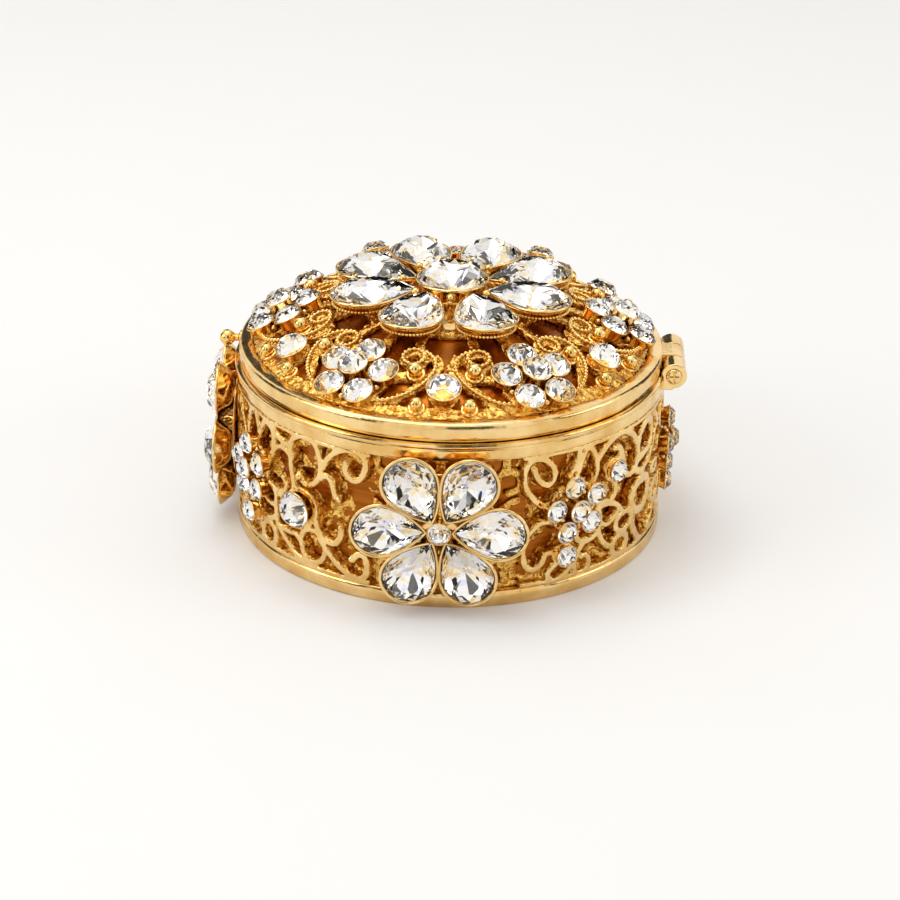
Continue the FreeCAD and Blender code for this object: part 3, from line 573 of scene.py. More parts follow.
# cast wall scrolls
scrollLook = {
    "voxel": 0.12, "rounds": 6, "keep": 0.55, "swell": 0.2, "swellSize": 4.0, "drop": 0.02, "fat": 0.12,
    "crown": 0.42, "polishedTo": 0.80, "grain": 0.12, "grainSize": 0.5, "fineGrain": (0.5, 2.3),
    "sideFrom": 0.7, "sideOver": 0.3,
    "lowFrom": 30.25, "lowKeep": 0.35,  # panels behind the large flowers stay low on the liner
    # ball ends of the curls: angle, height in percent, ball radius
    "ballSink": 0.35,
    "leftBalls": [(-39.8, 68, 0.85), (-24.7, 90, 0.55), (-26.8, 60, 0.6), (-26.4, 39, 0.6), (-23.2, 17, 0.55),
                  (-46.2, 61, 0.5), (-50.2, 78, 0.5), (-57.4, 84, 0.55), (-39.0, 15, 0.5)],
    "rightBalls": [(24.2, 89, 0.5), (49.8, 88, 0.6), (36.8, 38, 0.5), (39.2, 14, 0.5), (43.6, 51, 0.5),
                   (31.0, 24, 0.45), (41.2, 66, 0.5), (50.6, 78, 0.5)],
}


def curlBalls(table, turn):
    heap = newHeap()
    for angle, percent, r in table:
        place = wallPlace(boxForm["wallR"] - scrollLook["ballSink"], angle + turn, wallLevel(percent))
        addBall(heap, place.translation, r, ballFine)
    return heap


def wallPiece(node, name, balls=None, low=False):
    look = scrollLook
    mesh = castMesh(node, look["voxel"], look["rounds"], look["keep"], balls)

    def shift(p, normal):
        r = math.hypot(p.x, p.y)
        out = Vector((p.x / r, p.y / r, 0))
        facing = normal.dot(out)
        swell = noise.noise(p / look["swellSize"]) * look["swell"]
        grain = twoGrains(p, look["grainSize"], *look["fineGrain"])
        side = clamp((look["sideFrom"] - facing) / look["sideOver"])
        sink = look["crown"] * max(0.0, 1 - facing) if facing > 0 else 0
        spot = p + out * (swell - look["drop"] - sink) + (normal - out * facing) * look["fat"]
        spot += normal * grain * look["grain"] * side
        if low:
            spot -= out * (math.hypot(spot.x, spot.y) - look["lowFrom"]) * (1 - look["lowKeep"])
        return spot

    reshape(mesh, shift)
    # faces turned outward keep the polish; sides and recesses take the raw finish with its painted shade
    mats = []
    for poly in mesh.polygons:
        out = Vector((poly.center.x, poly.center.y, 0)).normalized()
        polished = poly.normal.dot(out) > look["polishedTo"] and not low
        mats.append(0 if polished else 1)
    mesh.polygons.foreach_set("material_index", mats)
    addPiece(name, finishCast(mesh), [scrollGold, rawShadedGold], "base", [node])


wallPiece("wall_front", "frontScrolls", low=True)
wallPiece("wall_right", "rightScrolls", curlBalls(scrollLook["rightBalls"], 0))
wallPiece("wall_hinge_side", "hingeScrolls")
wallPiece("wall_back_left", "backLeftScrolls", curlBalls(scrollLook["leftBalls"], 180))
wallPiece("wall_back", "backScrolls", low=True)
wallPiece("wall_back_right", "backRightScrolls", curlBalls(scrollLook["rightBalls"], 180))
wallPiece("wall_clasp_side", "claspScrolls")
wallPiece("wall_left", "leftScrolls", curlBalls(scrollLook["leftBalls"], 0))

# rough casting left standing on the liner behind the scrolls
castingLook = {
    "inner": 30.1, "low": 30.2, "rise": 1.05, "around": 740, "levels": 80,
    "lumps": 2.6, "bias": 0.02, "gain": 1.6,
    "octaves": [(1, 1), (0.45, 2.7), (0.25, 6.1)],  # share and fineness of each
    "rimGain": 0.3, "rimDeep": 3.0, "fadeFrom": 1.15, "fadeOver": 0.3,
    # middle angle and half width of each stretch
    "stretches": [(-46, 27), (46, 25), (134, 27), (226, 25), (90, 18), (270, 21)],
}


def castingHeight(angle, z):
    c = castingLook
    a = math.radians(angle)
    p = Vector((boxForm["wallR"] * math.sin(a), -boxForm["wallR"] * math.cos(a), z)) / c["lumps"]
    rough = sum(share * noise.noise(p * finer) for share, finer in c["octaves"])
    near = min(z - boxForm["footH"], boxForm["rimZ"] - z)
    rough += c["bias"] + c["rimGain"] * max(0.0, 1 - near / c["rimDeep"])
    away = min(abs((angle - middle + 180) % 360 - 180) / half for middle, half in c["stretches"])
    return c["low"] + c["rise"] * clamp(rough * c["gain"]) * clamp((c["fadeFrom"] - away) / c["fadeOver"])


def castingPiece():
    c = castingLook
    angles = [360 * k / c["around"] for k in range(c["around"])]
    heights = [boxForm["footH"] + boxForm["wallH"] * k / c["levels"] for k in range(c["levels"] + 1)]
    rows = []
    for z in heights:
        rows.append([wallPlace(castingHeight(a, z), a, z).translation for a in angles])
    for z in (heights[-1], heights[0]):
        rows.append([wallPlace(c["inner"], a, z).translation for a in angles])
    rows.append(rows[0])
    heap = newHeap()
    addRows(heap, rows)
    # the casting sits back in the recesses and takes the raw finish with its painted shade
    heapPiece("wallCasting", heap, [rawShadedGold], "base")


castingPiece()

# stone settings
cupLook = {
    "grow": 1.06, "lip": 0.15, "seat": 0.36, "cone": 0.42, "steps": 36, "pearSteps": 72, "pearMiddle": -0.1,
}


def addCup(heap, place, d, height, foot):
    # little chaton cup: waisted foot and a thin lip, open cone inside for the stone
    r = d / 2 * cupLook["grow"]
    full = r + cupLook["lip"]
    deep = height - cupLook["seat"] - cupLook["cone"] * d
    profile = [(0, min(foot, deep) - 0.25), (full * 0.4, foot - 0.1), (full * 0.62, foot),
               (full * 0.66, foot + 0.2), (full * 0.84, height - 0.72), (full * 0.96, height - 0.36),
               (full, height - 0.2), (full - 0.01, height - 0.1), (full - 0.06, height - 0.04),
               (r + 0.04, height - 0.05), (r + 0.02, height - 0.12), (r + 0.015, height - 0.34),
               (r * 0.25, deep + 0.1), (0, deep - 0.1)]
    addLathe(heap, place, profile, cupLook["steps"])


def pearSpot(length, width, degrees):
    tip = length / (width / 2) - 1
    fold = abs(180 - abs(degrees - 180))
    draw = max(fold - 90, 0) / 90
    reach = width / 2 * (1 + (tip - 1) * draw ** 3.2)
    return reach * math.cos(math.radians(degrees)), reach * math.sin(math.radians(degrees))


def addPearCup(heap, place, length, width, height, bezel, deep):
    # pear-shaped bowl with a rolled lip, the same outline drawn in or grown outward
    profile = [(-1.7, deep + 0.1), (-0.95, height * 0.24), (-0.3, height * 0.52),
               (bezel * 0.55, height - 0.5), (bezel * 0.95, height - 0.28), (bezel, height - 0.14),
               (bezel * 0.9, height - 0.02), (bezel * 0.66, height + 0.05), (bezel * 0.36, height + 0.04),
               (0.07, height - 0.05), (0.04, height - 0.3), (-0.2, height - 0.62), (-1.5, deep + 0.9)]
    turn = [360 * k / cupLook["pearSteps"] for k in range(cupLook["pearSteps"])]
    middle = cupLook["pearMiddle"] * length
    rows = [[place @ Vector((middle, 0, deep - 0.15))]]
    for grow, z in profile:
        spots = [pearSpot(length + 2 * grow, width + 2 * grow, a) for a in turn]
        rows.append([place @ Vector((x, y, z)) for x, y in spots])
    rows.append([place @ Vector((middle, 0, deep))])
    addRows(heap, rows)


stoneLook = {
    "girdle": 0.24, "table": 0.55, "star": 0.8, "lowStar": 0.6, "under": 0.2,
    "roundCrown": 0.27, "roundDeep": 0.40, "spin": 0.8,
}


def addStone(heap, place, outline, shift, crown, deep):
    # cut stone: table, stars, kites, upper facets, girdle, and a foiled pointed underside
    s = stoneLook
    lift = s["girdle"] / 2

    def ring(share, z, picks):
        spots = [(shift + share * (outline[k][0] - shift), share * outline[k][1]) for k in picks]
        return [place @ Vector((x, y, z)) for x, y in spots]

    slope = math.cos(math.radians(22.5))
    starZ = lift + crown * (1 - s["star"] * slope) / (1 - s["table"])
    deepZ = -lift - deep * (1 - s["lowStar"] * slope)
    even, odd, every = range(0, 16, 2), range(1, 16, 2), range(16)
    first = len(heap["verts"])
    heap["verts"] += ring(s["table"], lift + crown, even) + ring(s["star"], starZ, odd)
    heap["verts"] += ring(1, lift, every) + ring(1, -lift, every)
    heap["verts"] += ring(s["lowStar"], deepZ, odd) + [place @ Vector((shift, 0, -lift - deep))]
    starAt, topAt, lowAt, deepAt, point = 8, 16, 32, 48, 56  # where each ring's points begin
    facets = [(tuple(range(8)), 0)]
    for k in range(8):
        after, star, under = (k + 1) % 8, starAt + k, deepAt + k
        corners = (2 * k, 2 * k + 1, (2 * k + 2) % 16)
        left, mid, right = (topAt + i for i in corners)
        lowLeft, lowMid, lowRight = (lowAt + i for i in corners)
        facets += [((k, star, after), 0), ((k, left, star), 0), ((after, star, right), 0),
                   ((star, left, mid), 0), ((star, mid, right), 0),
                   ((left, lowLeft, lowMid, mid), 0), ((mid, lowMid, lowRight, right), 0),
                   ((lowLeft, under, lowMid), 1), ((lowMid, under, lowRight), 1),
                   ((lowLeft, point, under), 1), ((lowRight, under, point), 1)]
    for corners, mat in facets:
        heap["faces"].append(tuple(first + i for i in corners))
        heap["mats"].append(mat)


def roundOutline(r):
    return [(r * math.cos(math.pi * k / 8), r * math.sin(math.pi * k / 8)) for k in range(16)]


def addRound(heap, place, d, height):
    s = stoneLook
    turn = Matrix.Rotation(dice.uniform(0, s["spin"]), 4, "Z")  # each stone dropped in at its own turn
    seat = place @ moved(0, 0, height - s["under"]) @ turn
    addStone(heap, seat, roundOutline(d / 2 * cupLook["grow"]), 0, d * s["roundCrown"], d * s["roundDeep"])


def addPear(heap, place, length, width, height, crown, deep):
    outline = [pearSpot(length, width, 22.5 * k) for k in range(16)]
    seat = place @ moved(0, 0, height - stoneLook["under"])
    addStone(heap, seat, outline, cupLook["pearMiddle"] * length, crown, deep)


def stonePiece(name, heap, body, node):
    piece = heapPiece(name, heap, [crystal, foil], body, [node])
    piece.data.polygons.foreach_set("use_smooth", [False] * len(piece.data.polygons))
    piece.data.update()


def petalPlaces(count, offset, reach, height):
    places = []
    for k in range(count):
        spin = Matrix.Rotation(math.radians(offset + 360 / count * k), 4, "Z")
        places.append(spin @ moved(reach, 0, height))
    return places


def addPetal(heap, cut, spot, f):
    grow = f["stoneGrow"]
    addPearCup(heap, spot, f["length"], f["width"], f["cupH"], f["bezel"], f["cupDeep"])
    addPear(cut, spot, f["length"] + grow, f["width"] + grow, f["cupH"], f["crown"], f["deep"])


wallFlower = {
    "length": 10.0, "width": 7.4, "petals": 6, "reach": 8.4, "cupH": 2.4, "cupDeep": 0.08, "bezel": 0.5,
    "crown": 1.6, "deep": 1.95, "stoneGrow": -0.16, "seat": 32.05, "level": 13.016,
    "middle": 3.0, "middleH": 2.8, "middleFoot": 0.4, "backR": 8.0, "backSteps": 64,
    "grains": [(3.3, 1.5, 0.42), (4.6, 1.0, 0.38)],  # where the petals part: distance out, height, radius
}
middles = newHeap()


def wallFlowerPiece(name, angle, setting, stones):
    heap, cut = newHeap(), newHeap()
    f = wallFlower
    place = wallPlace(f["seat"], angle, f["level"])
    for spot in petalPlaces(f["petals"], 0, f["reach"], 0):
        addPetal(heap, cut, place @ spot, f)
    r = f["backR"]
    backProfile = [(0, -0.25), (r, -0.25), (r + 0.1, -0.1), (r - 0.2, 0.08), (0, 0.08)]
    addLathe(heap, place, backProfile, f["backSteps"])
    addCup(heap, place, f["middle"], f["middleH"], f["middleFoot"])
    addRound(middles, place, f["middle"], f["middleH"])
    for k in range(f["petals"]):
        spin = Matrix.Rotation(math.radians(360 / f["petals"] * (k + 0.5)), 4, "Z")
        for reach, height, size in f["grains"]:
            addBall(heap, place @ spin @ Vector((reach, 0, height)), size)
    heapPiece(name + "Bezels", heap, [settingGold], "base", [setting])
    stonePiece(name + "Pears", cut, "base", stones)


wallFlowerPiece("frontFlower", 0, "front_flower_setting", "front_flower_pears")
wallFlowerPiece("backFlower", 180, "back_flower_setting", "back_flower_pears")
wallFlowerPiece("claspFlower", 270, "clasp_flower_setting", "clasp_flower_pears")
stonePiece("flowerMiddleStones", middles, "base", "flower_middle_stones")

wallCluster = {
    "places": [(35.8, 55), (88, 55), (120, 55), (215.8, 55), (300, 55)],
    "d": 3.0, "ring": 3.65, "height": 1.1, "rise": 0.8, "turn": 9, "petals": 5, "foot": -0.55, "grain": 0.36,
}
lidCluster = {
    "r": 24.6, "angles": [30, 90, 150, 210, 270, 330],
    "d": 4.0, "ring": 4.1, "height": 1.5, "rise": 1.65, "turn": 0, "petals": 5, "foot": -0.5, "grain": 0.5,
}
clusterGrains = [(0.72, 0.55, 1), (1.05, 0.3, 0.9)]  # shares of the ring, the height and the grain


def addCluster(heap, cut, place, c):
    for k in range(c["petals"]):
        a = math.radians(90 + c["turn"] + 360 / c["petals"] * k)
        spot = place @ moved(c["ring"] * math.cos(a), c["ring"] * math.sin(a))
        addCup(heap, spot, c["d"], c["height"], c["foot"])
        addRound(cut, spot, c["d"], c["height"])
        b = a + math.pi / c["petals"]
        for share, tall, size in clusterGrains:
            reach = c["ring"] * share
            grain = Vector((reach * math.cos(b), reach * math.sin(b), c["height"] * tall))
            addBall(heap, place @ grain, c["grain"] * size)
    addCup(heap, place, c["d"], c["height"] + c["rise"], c["foot"])
    addRound(cut, place, c["d"], c["height"] + c["rise"])


heap, cut = newHeap(), newHeap()
for angle, percent in wallCluster["places"]:
    addCluster(heap, cut, wallPlace(boxForm["wallR"], angle, wallLevel(percent)), wallCluster)
heapPiece("wallClusterCups", heap, [settingGold], "base", ["wall_cluster_settings"])
stonePiece("wallClusterStones", cut, "base", "wall_cluster_stones")

heap, cut = newHeap(), newHeap()
for angle in lidCluster["angles"]:
    addCluster(heap, cut, domePlace(lidCluster["r"], angle), lidCluster)
heapPiece("lidClusterCups", heap, [settingGold], "lid", ["lid_cluster_settings"])
stonePiece("lidClusterStones", cut, "lid", "lid_cluster_stones")

wallSingles = {
    "small": [(33.2, 21), (49.3, 73), (88, 21), (120, 21), (213.2, 21), (229.3, 73), (300, 21)],
    "smallD": 3.0, "smallH": 1.1,
    "large": [(-39.2, 45), (140.8, 45)],
    "largeD": 5.0, "largeH": 1.5, "foot": -0.6,
}
for size, name in (("small", "wallSmall"), ("large", "wallLarge")):
    heap, cut = newHeap(), newHeap()
    for angle, percent in wallSingles[size]:
        place = wallPlace(boxForm["wallR"], angle, wallLevel(percent))
        addCup(heap, place, wallSingles[size + "D"], wallSingles[size + "H"], wallSingles["foot"])
        addRound(cut, place, wallSingles[size + "D"], wallSingles[size + "H"])
    heapPiece(name + "Bezels", heap, [settingGold], "base", ["wall_" + size + "_cups"])
    stonePiece(name + "Stones", cut, "base", "wall_" + size + "_stones")

lidSingles = {"r": 25.4, "d": 4.5, "height": 1.5, "foot": -0.5, "angles": [0, 60, 120, 180, 240, 300]}
heap, cut = newHeap(), newHeap()
for angle in lidSingles["angles"]:
    place = domePlace(lidSingles["r"], angle)
    addCup(heap, place, lidSingles["d"], lidSingles["height"], lidSingles["foot"])
    addRound(cut, place, lidSingles["d"], lidSingles["height"])
heapPiece("lidSingleBezels", heap, [settingGold], "lid", ["lid_single_cups"])
stonePiece("lidSingleStones", cut, "lid", "lid_single_stones")

# large lid flower
lidFlower = {
    "length": 12.6, "width": 8.6, "petals": 8, "offset": 22.5, "reach": 14.1, "cupH": 2.1, "cupDeep": -0.2,
    "bezel": 0.42, "crown": 1.9, "deep": 1.9, "stoneGrow": 0.16, "seatR": 12.3, "steps": 72,
    "centreD": 10.0, "centreH": 3.0, "centreCrown": 2.0, "centreDeep": 2.2,
    "galleryR": 0.24, "galleryPitch": 0.52, "gallerySpan": 118, "galleryIn": 0.3, "galleryZ": 0.75,
    "beadR": 0.55, "beadRing": 7.3, "stemSteps": 14,
}
flowerZ = domeZ(lidFlower["seatR"])
f = lidFlower
heap, gallery, cut = newHeap(), newHeap(), newHeap()
for spot in petalPlaces(f["petals"], f["offset"], f["reach"], flowerZ):
    addPetal(heap, cut, spot, f)
    # beaded gallery wire under the rounded end of each petal
    span = range(-f["gallerySpan"], f["gallerySpan"] + 1, 4)
    arc = [pearSpot(f["length"] - f["galleryIn"], f["width"] - f["galleryIn"], a % 360) for a in span]
    line = [spot @ Vector((x, y, f["galleryZ"])) for x, y in arc]
    for bead in evenSpots(line, f["galleryPitch"]):
        addBall(gallery, bead, f["galleryR"])
r, h, seatR = f["centreD"] / 2, f["centreH"], f["seatR"]
seatProfile = [(0, 0.46), (6, 0.14), (seatR - 0.3, -0.7), (seatR, -0.55), (seatR - 0.3, -0.4),
               (9, 0.05), (6, 0.4), (0, 0.65)]
centreProfile = [(0, 0.44), (r - 0.2, 0.3), (r - 0.05, 1.0), (r + 0.25, h - 0.75), (r + 0.42, h - 0.35),
                 (r + 0.44, h - 0.14), (r + 0.34, h + 0.02), (r + 0.18, h + 0.02), (r + 0.05, h - 0.06),
                 (r + 0.035, h - 0.4), (r * 0.3, 0.85), (0, 0.47)]
for profile in (seatProfile, centreProfile):
    addLathe(heap, moved(0, 0, flowerZ), profile, f["steps"])
centreCut = newHeap()
seat = moved(0, 0, flowerZ + h - stoneLook["under"])
addStone(centreCut, seat, roundOutline(r), 0, f["centreCrown"], f["centreDeep"])
stonePiece("lidCentreStone", centreCut, "lid", "lid_centre_stone")
stonePiece("lidFlowerPears", cut, "lid", "lid_flower_pears")
heapPiece("lidFlowerBezels", heap, [settingGold], "lid", ["lid_flower_setting"])
heapPiece("lidFlowerGallery", gallery, [beadGold], "lid")

heap = newHeap()
for k in range(f["petals"]):  # round-headed prongs between the petals
    a = math.radians(360 / f["petals"] * k)
    x, y = f["beadRing"] * math.sin(a), -f["beadRing"] * math.cos(a)
    top = flowerZ + f["cupH"] + f["beadR"]
    stem = [(0, top - 1.6), (0.42, top - 1.6), (0.34, top - 0.9), (0.30, top - 0.5), (0, top - 0.5)]
    addLathe(heap, moved(x, y, 0), stem, f["stemSteps"])
    addBall(heap, Vector((x, y, top)), f["beadR"], ballFine)
heapPiece("lidCentreProngs", heap, [beadGold], "lid", ["lid_centre_beads"])

# beaded wires and loops on the lid, and the openwork under them
beadLook = {
    "beadR": 0.35, "uneven": (0.92, 1.06), "pitch": 0.70, "coreR": 0.16, "lift": 0.5, "tubeSteps": 8,
    "loopR": 1.55, "loopRing": 19.6, "loopAngle": 13.4, "loopSteps": 48, "ribR": 0.42, "ribLift": -0.2,
    # one arm from under its cluster round to the loop: share of the dome radius, degrees aside
    "arm": [(0.952, 20.5), (0.938, 16.4), (0.893, 11.4), (0.830, 7.0), (0.760, 4.3),
            (0.700, 3.9), (0.655, 5.9), (0.628, 9.4), (0.618, 12.6)],
    "armSteps": 10,
}


def beadLines(height):
    b = beadLook
    turn = [2 * math.pi * i / b["loopSteps"] for i in range(b["loopSteps"])]
    loop = [Vector((b["loopR"] * math.cos(a), b["loopR"] * math.sin(a), height)) for a in turn]
    lines = []
    for k in range(6):
        for side in (1, -1):
            places = [domePlace(boxForm["domeR"] * share, 60 * k + side * aside) for share, aside in b["arm"]]
            arm = smoothLine([place @ Vector((0, 0, height)) for place in places], b["armSteps"])
            place = domePlace(b["loopRing"], 60 * k + side * b["loopAngle"])
            lines.append((arm, [place @ spot for spot in loop]))
    return lines


wires, loops = newHeap(), newHeap()
for arm, ring in beadLines(beadLook["lift"]):
    for heap, line, closed in ((wires, arm, False), (loops, ring, True)):
        addTube(heap, line, beadLook["coreR"], beadLook["tubeSteps"], closed=closed)
        for bead in evenSpots(line, beadLook["pitch"], closed=closed):
            addBall(heap, bead, beadLook["beadR"] * dice.uniform(*beadLook["uneven"]))
heapPiece("lidBeadWires", wires, [beadGold], "lid", ["lid_bead_wires"])
heapPiece("lidBeadLoops", loops, [beadGold], "lid", ["lid_bead_loops"])

grilleLook = {
    "voxel": 0.17, "rounds": 2, "keep": 0.4, "grain": 0.24, "grainSize": 0.8, "fineGrain": (0.6, 2.1),
    "granules": 620, "granuleR": (0.14, 0.30), "granuleLift": 0.02, "granulesTo": 28.4, "upward": 0.8,
}


def grillePiece():
    g = grilleLook
    ribs = newHeap()
    for arm, ring in beadLines(beadLook["ribLift"]):
        addTube(ribs, arm, beadLook["ribR"], beadLook["tubeSteps"])
        addTube(ribs, ring, beadLook["ribR"], beadLook["tubeSteps"], closed=True)
    mesh = castMesh("lid_grille", g["voxel"], g["rounds"], g["keep"], ribs)

    def shift(p, normal):
        return p + normal * g["grain"] * twoGrains(p, g["grainSize"], *g["fineGrain"])

    reshape(mesh, shift)
    middle = Vector((0, 0, boxForm["domeLow"]))
    tops = []
    for poly in mesh.polygons:
        upward = poly.normal.dot((poly.center - middle).normalized()) > g["upward"]
        if upward and math.hypot(poly.center.x, poly.center.y) < g["granulesTo"]:
            tops.append(poly)
    heap = newHeap()
    small = ballShape(1)
    for k in range(g["granules"]):
        poly = dice.choice(tops)
        addBall(heap, poly.center + poly.normal * g["granuleLift"], dice.uniform(*g["granuleR"]), small)
    # the openwork takes the raw finish, whose deeper colour is painted shade
    addPiece("lidOpenwork", finishCast(mesh), [lidRawShadedGold], "lid", ["lid_grille"])
    heapPiece("lidGranules", heap, [beadGold], "lid")


grillePiece()

# ball studs
studLook = {
    "r": 1.15, "ring": 22.5, "angle": 10.5, "rimR": 1.02, "rimRing": 28.0, "rimAngle": 7.5, "steps": 24,
}
studs, rimStuds = newHeap(), newHeap()


def addStud(heap, ring, angle, r):
    # ball in a small rolled collar
    place = domePlace(ring, angle)
    collar = [(0, -0.3), (r * 1.1, -0.3), (r * 1.22, 0.0), (r * 1.28, 0.18), (r * 1.2, 0.36),
              (r * 1.02, 0.44), (r * 0.8, 0.36), (0, 0.3)]
    addLathe(heap, place, collar, studLook["steps"])
    addBall(heap, place @ Vector((0, 0, r * 1.05)), r * 0.95, ballFine)


for k in range(6):
    for side in (1, -1):
        addStud(studs, studLook["ring"], 60 * k + side * studLook["angle"], studLook["r"])
        addStud(rimStuds, studLook["rimRing"], 60 * k + side * studLook["rimAngle"], studLook["rimR"])
heapPiece("lidBallStuds", studs, [beadGold], "lid", ["lid_studs"])
heapPiece("lidRimStuds", rimStuds, [beadGold], "lid", ["lid_rim_studs"])

# hinge and thumb ball
hingeLook = {
    "voxel": 0.09, "rounds": 4, "keep": 0.5, "pinR": 1.1, "pinEnd": 6.25, "pinDome": 0.10, "pinSteps": 96,
    "slotW": 0.2, "slotDepth": 0.22, "slotTo": 0.72,
}
for node, name, body in (("hinge_base_knuckles", "hingeBaseKnuckles", "base"),
                         ("hinge_lid_knuckle", "hingeLidKnuckle", "lid")):
    mesh = castMesh(node, hingeLook["voxel"], hingeLook["rounds"], hingeLook["keep"])
    addPiece(name, finishCast(mesh), [settingGold], body, [node])


def pinPiece():
    # rivet pin with domed ends and a crossed punch mark in each
    look = hingeLook
    r, end, dome = look["pinR"], look["pinEnd"], look["pinDome"]
    place = moved(boxForm["hingeX"], 0, boxForm["hingeZ"]) @ Matrix.Rotation(math.pi / 2, 4, "X")
    turn = [2 * math.pi * k / look["pinSteps"] for k in range(look["pinSteps"])]
    profile = [(s, end + (dome - 0.04 * (s / r) ** 2)) for s in (r * 0.02 * k for k in range(1, 35))]
    profile += [(r * 0.7, end + 0.06), (r * 0.9, end), (r, end - 0.08), (r, end - 0.5)]
    rows = []
    for way, half in ((1, profile), (-1, profile[::-1])):
        for s, z in half:
            row = []
            for a in turn:
                x, y = s * math.cos(a), s * math.sin(a)
                dip = 0
                if math.hypot(x, y) < r * look["slotTo"]:
                    dip = max(0, 1 - min(abs(x), abs(y)) / look["slotW"]) * look["slotDepth"]
                row.append(place @ Vector((x, y, way * (z - dip))))
            rows.append(row)
    tip = end + dome - look["slotDepth"]
    heap = newHeap()
    addRows(heap, [[place @ Vector((0, 0, tip))]] + rows + [[place @ Vector((0, 0, -tip))]])
    heapPiece("hingePin", heap, [settingGold], "base", ["hinge_pin"])


pinPiece()

thumbLook = {
    "r": 1.2, "reach": 1.95, "above": 1.3, "steps": 32,
    "stem": [(0, -0.4), (1.15, -0.4), (1.1, 0.0), (0.92, 0.16), (0.62, 0.24), (0.52, 0.5),
             (0.56, 0.85), (0, 0.85)],
}
heap = newHeap()
side = moved(-boxForm["lidR"], 0, boxForm["lidZ"] + thumbLook["above"])
place = side @ Matrix.Rotation(-math.pi / 2, 4, "Y")
addLathe(heap, place, thumbLook["stem"], thumbLook["steps"])
addBall(heap, place @ Vector((0, 0, thumbLook["reach"])), thumbLook["r"], ballFine)
heapPiece("thumbBall", heap, [beadGold], "lid", ["thumb_ball"])

# CAD nodes that keep their shape: the liners and the floor plate
for node, finish in (("liner_sleeve", wallAmber), ("floor_plate", lidAmber), ("lid_liner", lidAmber)):
    nodes[node].data.materials.clear()
    nodes[node].data.materials.append(finish)

print("liners lacquered")

# studio: pale floor, white surround, soft lamps
studio = {
    "floor": 0.86, "floorRough": 0.8, "floorSize": 1.6, "floorGlow": 0.055,
    "floorGlowColour": (1, 0.995, 0.98, 1),
    "ambient": 0.70, "glow": 1.0, "worldColour": (1, 0.99, 0.975, 1), "lampColour": (1, 0.985, 0.96),
    # dark cards round the room, as metal and stones see them:
    # how many, turn, where the edges fall, lowest and highest reach
    "metalCards": {"dark": 0.06, "count": 6, "turn": 0.3, "edge": (-0.18, 0.10),
                   "low": (0.0, 0.06), "high": (0.62, 0.78)},
    "stoneCards": {"dark": 0.13, "count": 4, "turn": 0.6, "edge": (-0.62, -0.40),
                   "low": (0.10, 0.26), "high": (0.66, 0.82)},
    "lamps": [
        {"name": "topSoftbox", "at": (-120, 60, 620), "aim": (0, 0, 15), "size": 420, "power": 1.3},
        {"name": "leftSoftbox", "at": (-560, -260, 330), "aim": (0, 0, 15), "size": 360, "power": 0.95},
        {"name": "rightFill", "at": (600, -120, 260), "aim": (0, 0, 15), "size": 300, "power": 0.55},
    ],
}


def makeFloor():
    bm = bmesh.new()
    bmesh.ops.create_grid(bm, x_segments=24, y_segments=24, size=studio["floorSize"])
    mesh = bpy.data.meshes.new("paleFloor")
    bm.to_mesh(mesh)
    bm.free()
    floor = bpy.data.objects.new("paleFloor", mesh)
    scene.collection.objects.link(floor)
    finish, tree, bsdf = newFinish("palePaper")
    bsdf.inputs["Roughness"].default_value = studio["floorRough"]
    grain = textureAt(tree, "Noise", 40, Detail=3)
    v = studio["floor"]
    tones = [(0.3, (v, v * 0.993, v * 0.98)), (0.7, (v * 1.01, v, v * 0.99))]
    colourFrom(tree, bsdf, grain, tones)
    path = tree.nodes.new("ShaderNodeLightPath")
    seen = tree.nodes.new("ShaderNodeMath")
    seen.operation = "MULTIPLY"
    seen.inputs[1].default_value = studio["floorGlow"]
    tree.links.new(path.outputs["Is Camera Ray"], seen.inputs[0])
    bsdf.inputs["Emission Color"].default_value = studio["floorGlowColour"]
    tree.links.new(seen.outputs[0], bsdf.inputs["Emission Strength"])
    mesh.materials.append(finish)


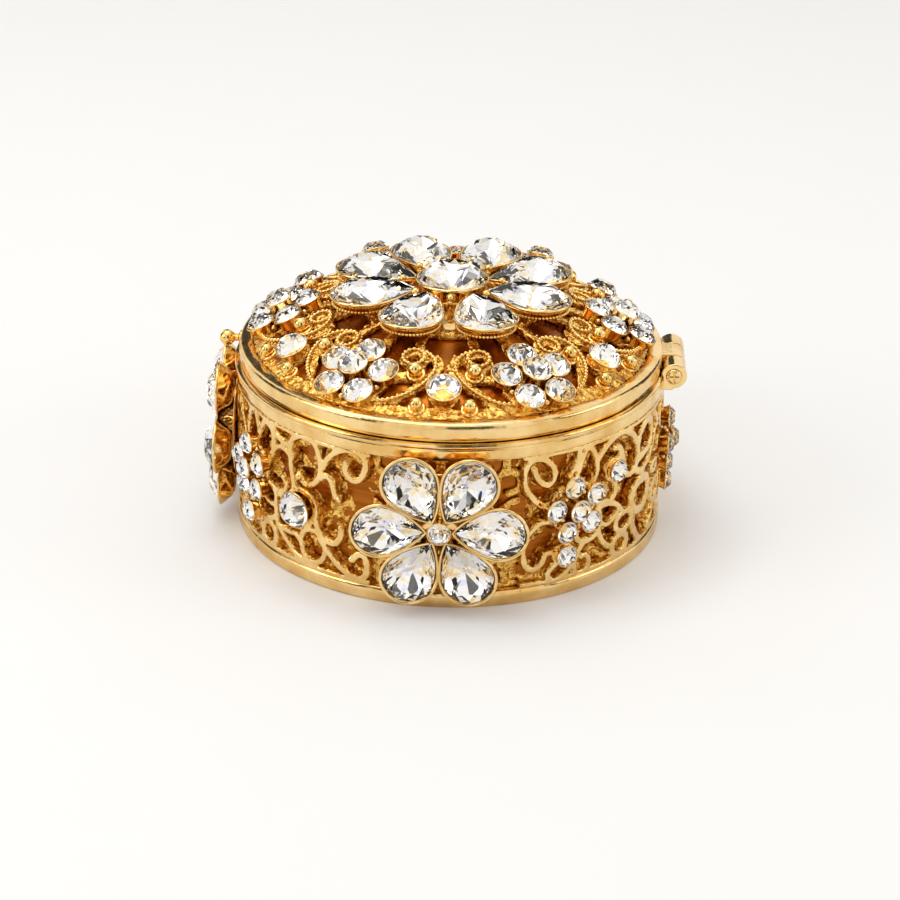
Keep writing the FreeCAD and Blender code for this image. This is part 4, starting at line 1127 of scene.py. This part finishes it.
def makeWorld():
    world = bpy.data.worlds.new("studioWorld")
    scene.world = world
    world.use_nodes = True
    tree = world.node_tree
    back = tree.nodes["Background"]

    def mathNode(kind, a, b=None):
        node = tree.nodes.new("ShaderNodeMath")
        node.operation = kind
        for slotIndex, value in enumerate((a, b)):
            if value is None:
                continue
            if isinstance(value, (int, float)):
                node.inputs[slotIndex].default_value = value
            else:
                tree.links.new(value, node.inputs[slotIndex])
        return node.outputs[0]

    coords = tree.nodes.new("ShaderNodeTexCoord")
    parts = tree.nodes.new("ShaderNodeSeparateXYZ")
    tree.links.new(coords.outputs["Generated"], parts.inputs[0])
    x, y, z = parts.outputs

    def cardShade(look):
        around = mathNode("ADD", mathNode("MULTIPLY", mathNode("ARCTAN2", y, x), look["count"]), look["turn"])
        cards = rangeFrom(tree, mathNode("SINE", around), look["dark"], studio["glow"], *look["edge"])
        bottom, top = rangeFrom(tree, z, 0, 1, *look["low"]), rangeFrom(tree, z, 1, 0, *look["high"])
        middle = mathNode("MULTIPLY", bottom, top)
        clear = mathNode("MULTIPLY", mathNode("SUBTRACT", 1.0, middle), studio["glow"])
        return mathNode("ADD", mathNode("MULTIPLY", cards, middle), clear)

    path = tree.nodes.new("ShaderNodeLightPath")
    eye, metal, glass = (path.outputs[k] for k in ("Is Camera Ray", "Is Glossy Ray", "Is Transmission Ray"))
    onlyMetal = mathNode("MULTIPLY", metal, mathNode("SUBTRACT", 1.0, glass))
    seen = mathNode("ADD", mathNode("MULTIPLY", onlyMetal, cardShade(studio["metalCards"])),
                    mathNode("MULTIPLY", glass, cardShade(studio["stoneCards"])))
    rest = mathNode("SUBTRACT", 1.0, mathNode("MAXIMUM", eye, mathNode("MAXIMUM", metal, glass)))
    light = mathNode("ADD", mathNode("ADD", eye, seen), mathNode("MULTIPLY", rest, studio["ambient"]))
    back.inputs["Color"].default_value = studio["worldColour"]
    tree.links.new(light, back.inputs["Strength"])


def makeLamps():
    for lamp in studio["lamps"]:
        data = bpy.data.lights.new(lamp["name"], "AREA")
        data.shape = "SQUARE"
        data.size = lamp["size"] * mm
        data.energy = lamp["power"]
        data.color = studio["lampColour"]
        light = bpy.data.objects.new(lamp["name"], data)
        scene.collection.objects.link(light)
        at, aim = Vector(lamp["at"]) * mm, Vector(lamp["aim"]) * mm
        light.location = at
        light.rotation_mode = "QUATERNION"
        light.rotation_quaternion = (aim - at).to_track_quat("-Z", "Y")


makeFloor()
makeWorld()
makeLamps()
print("studio lit")
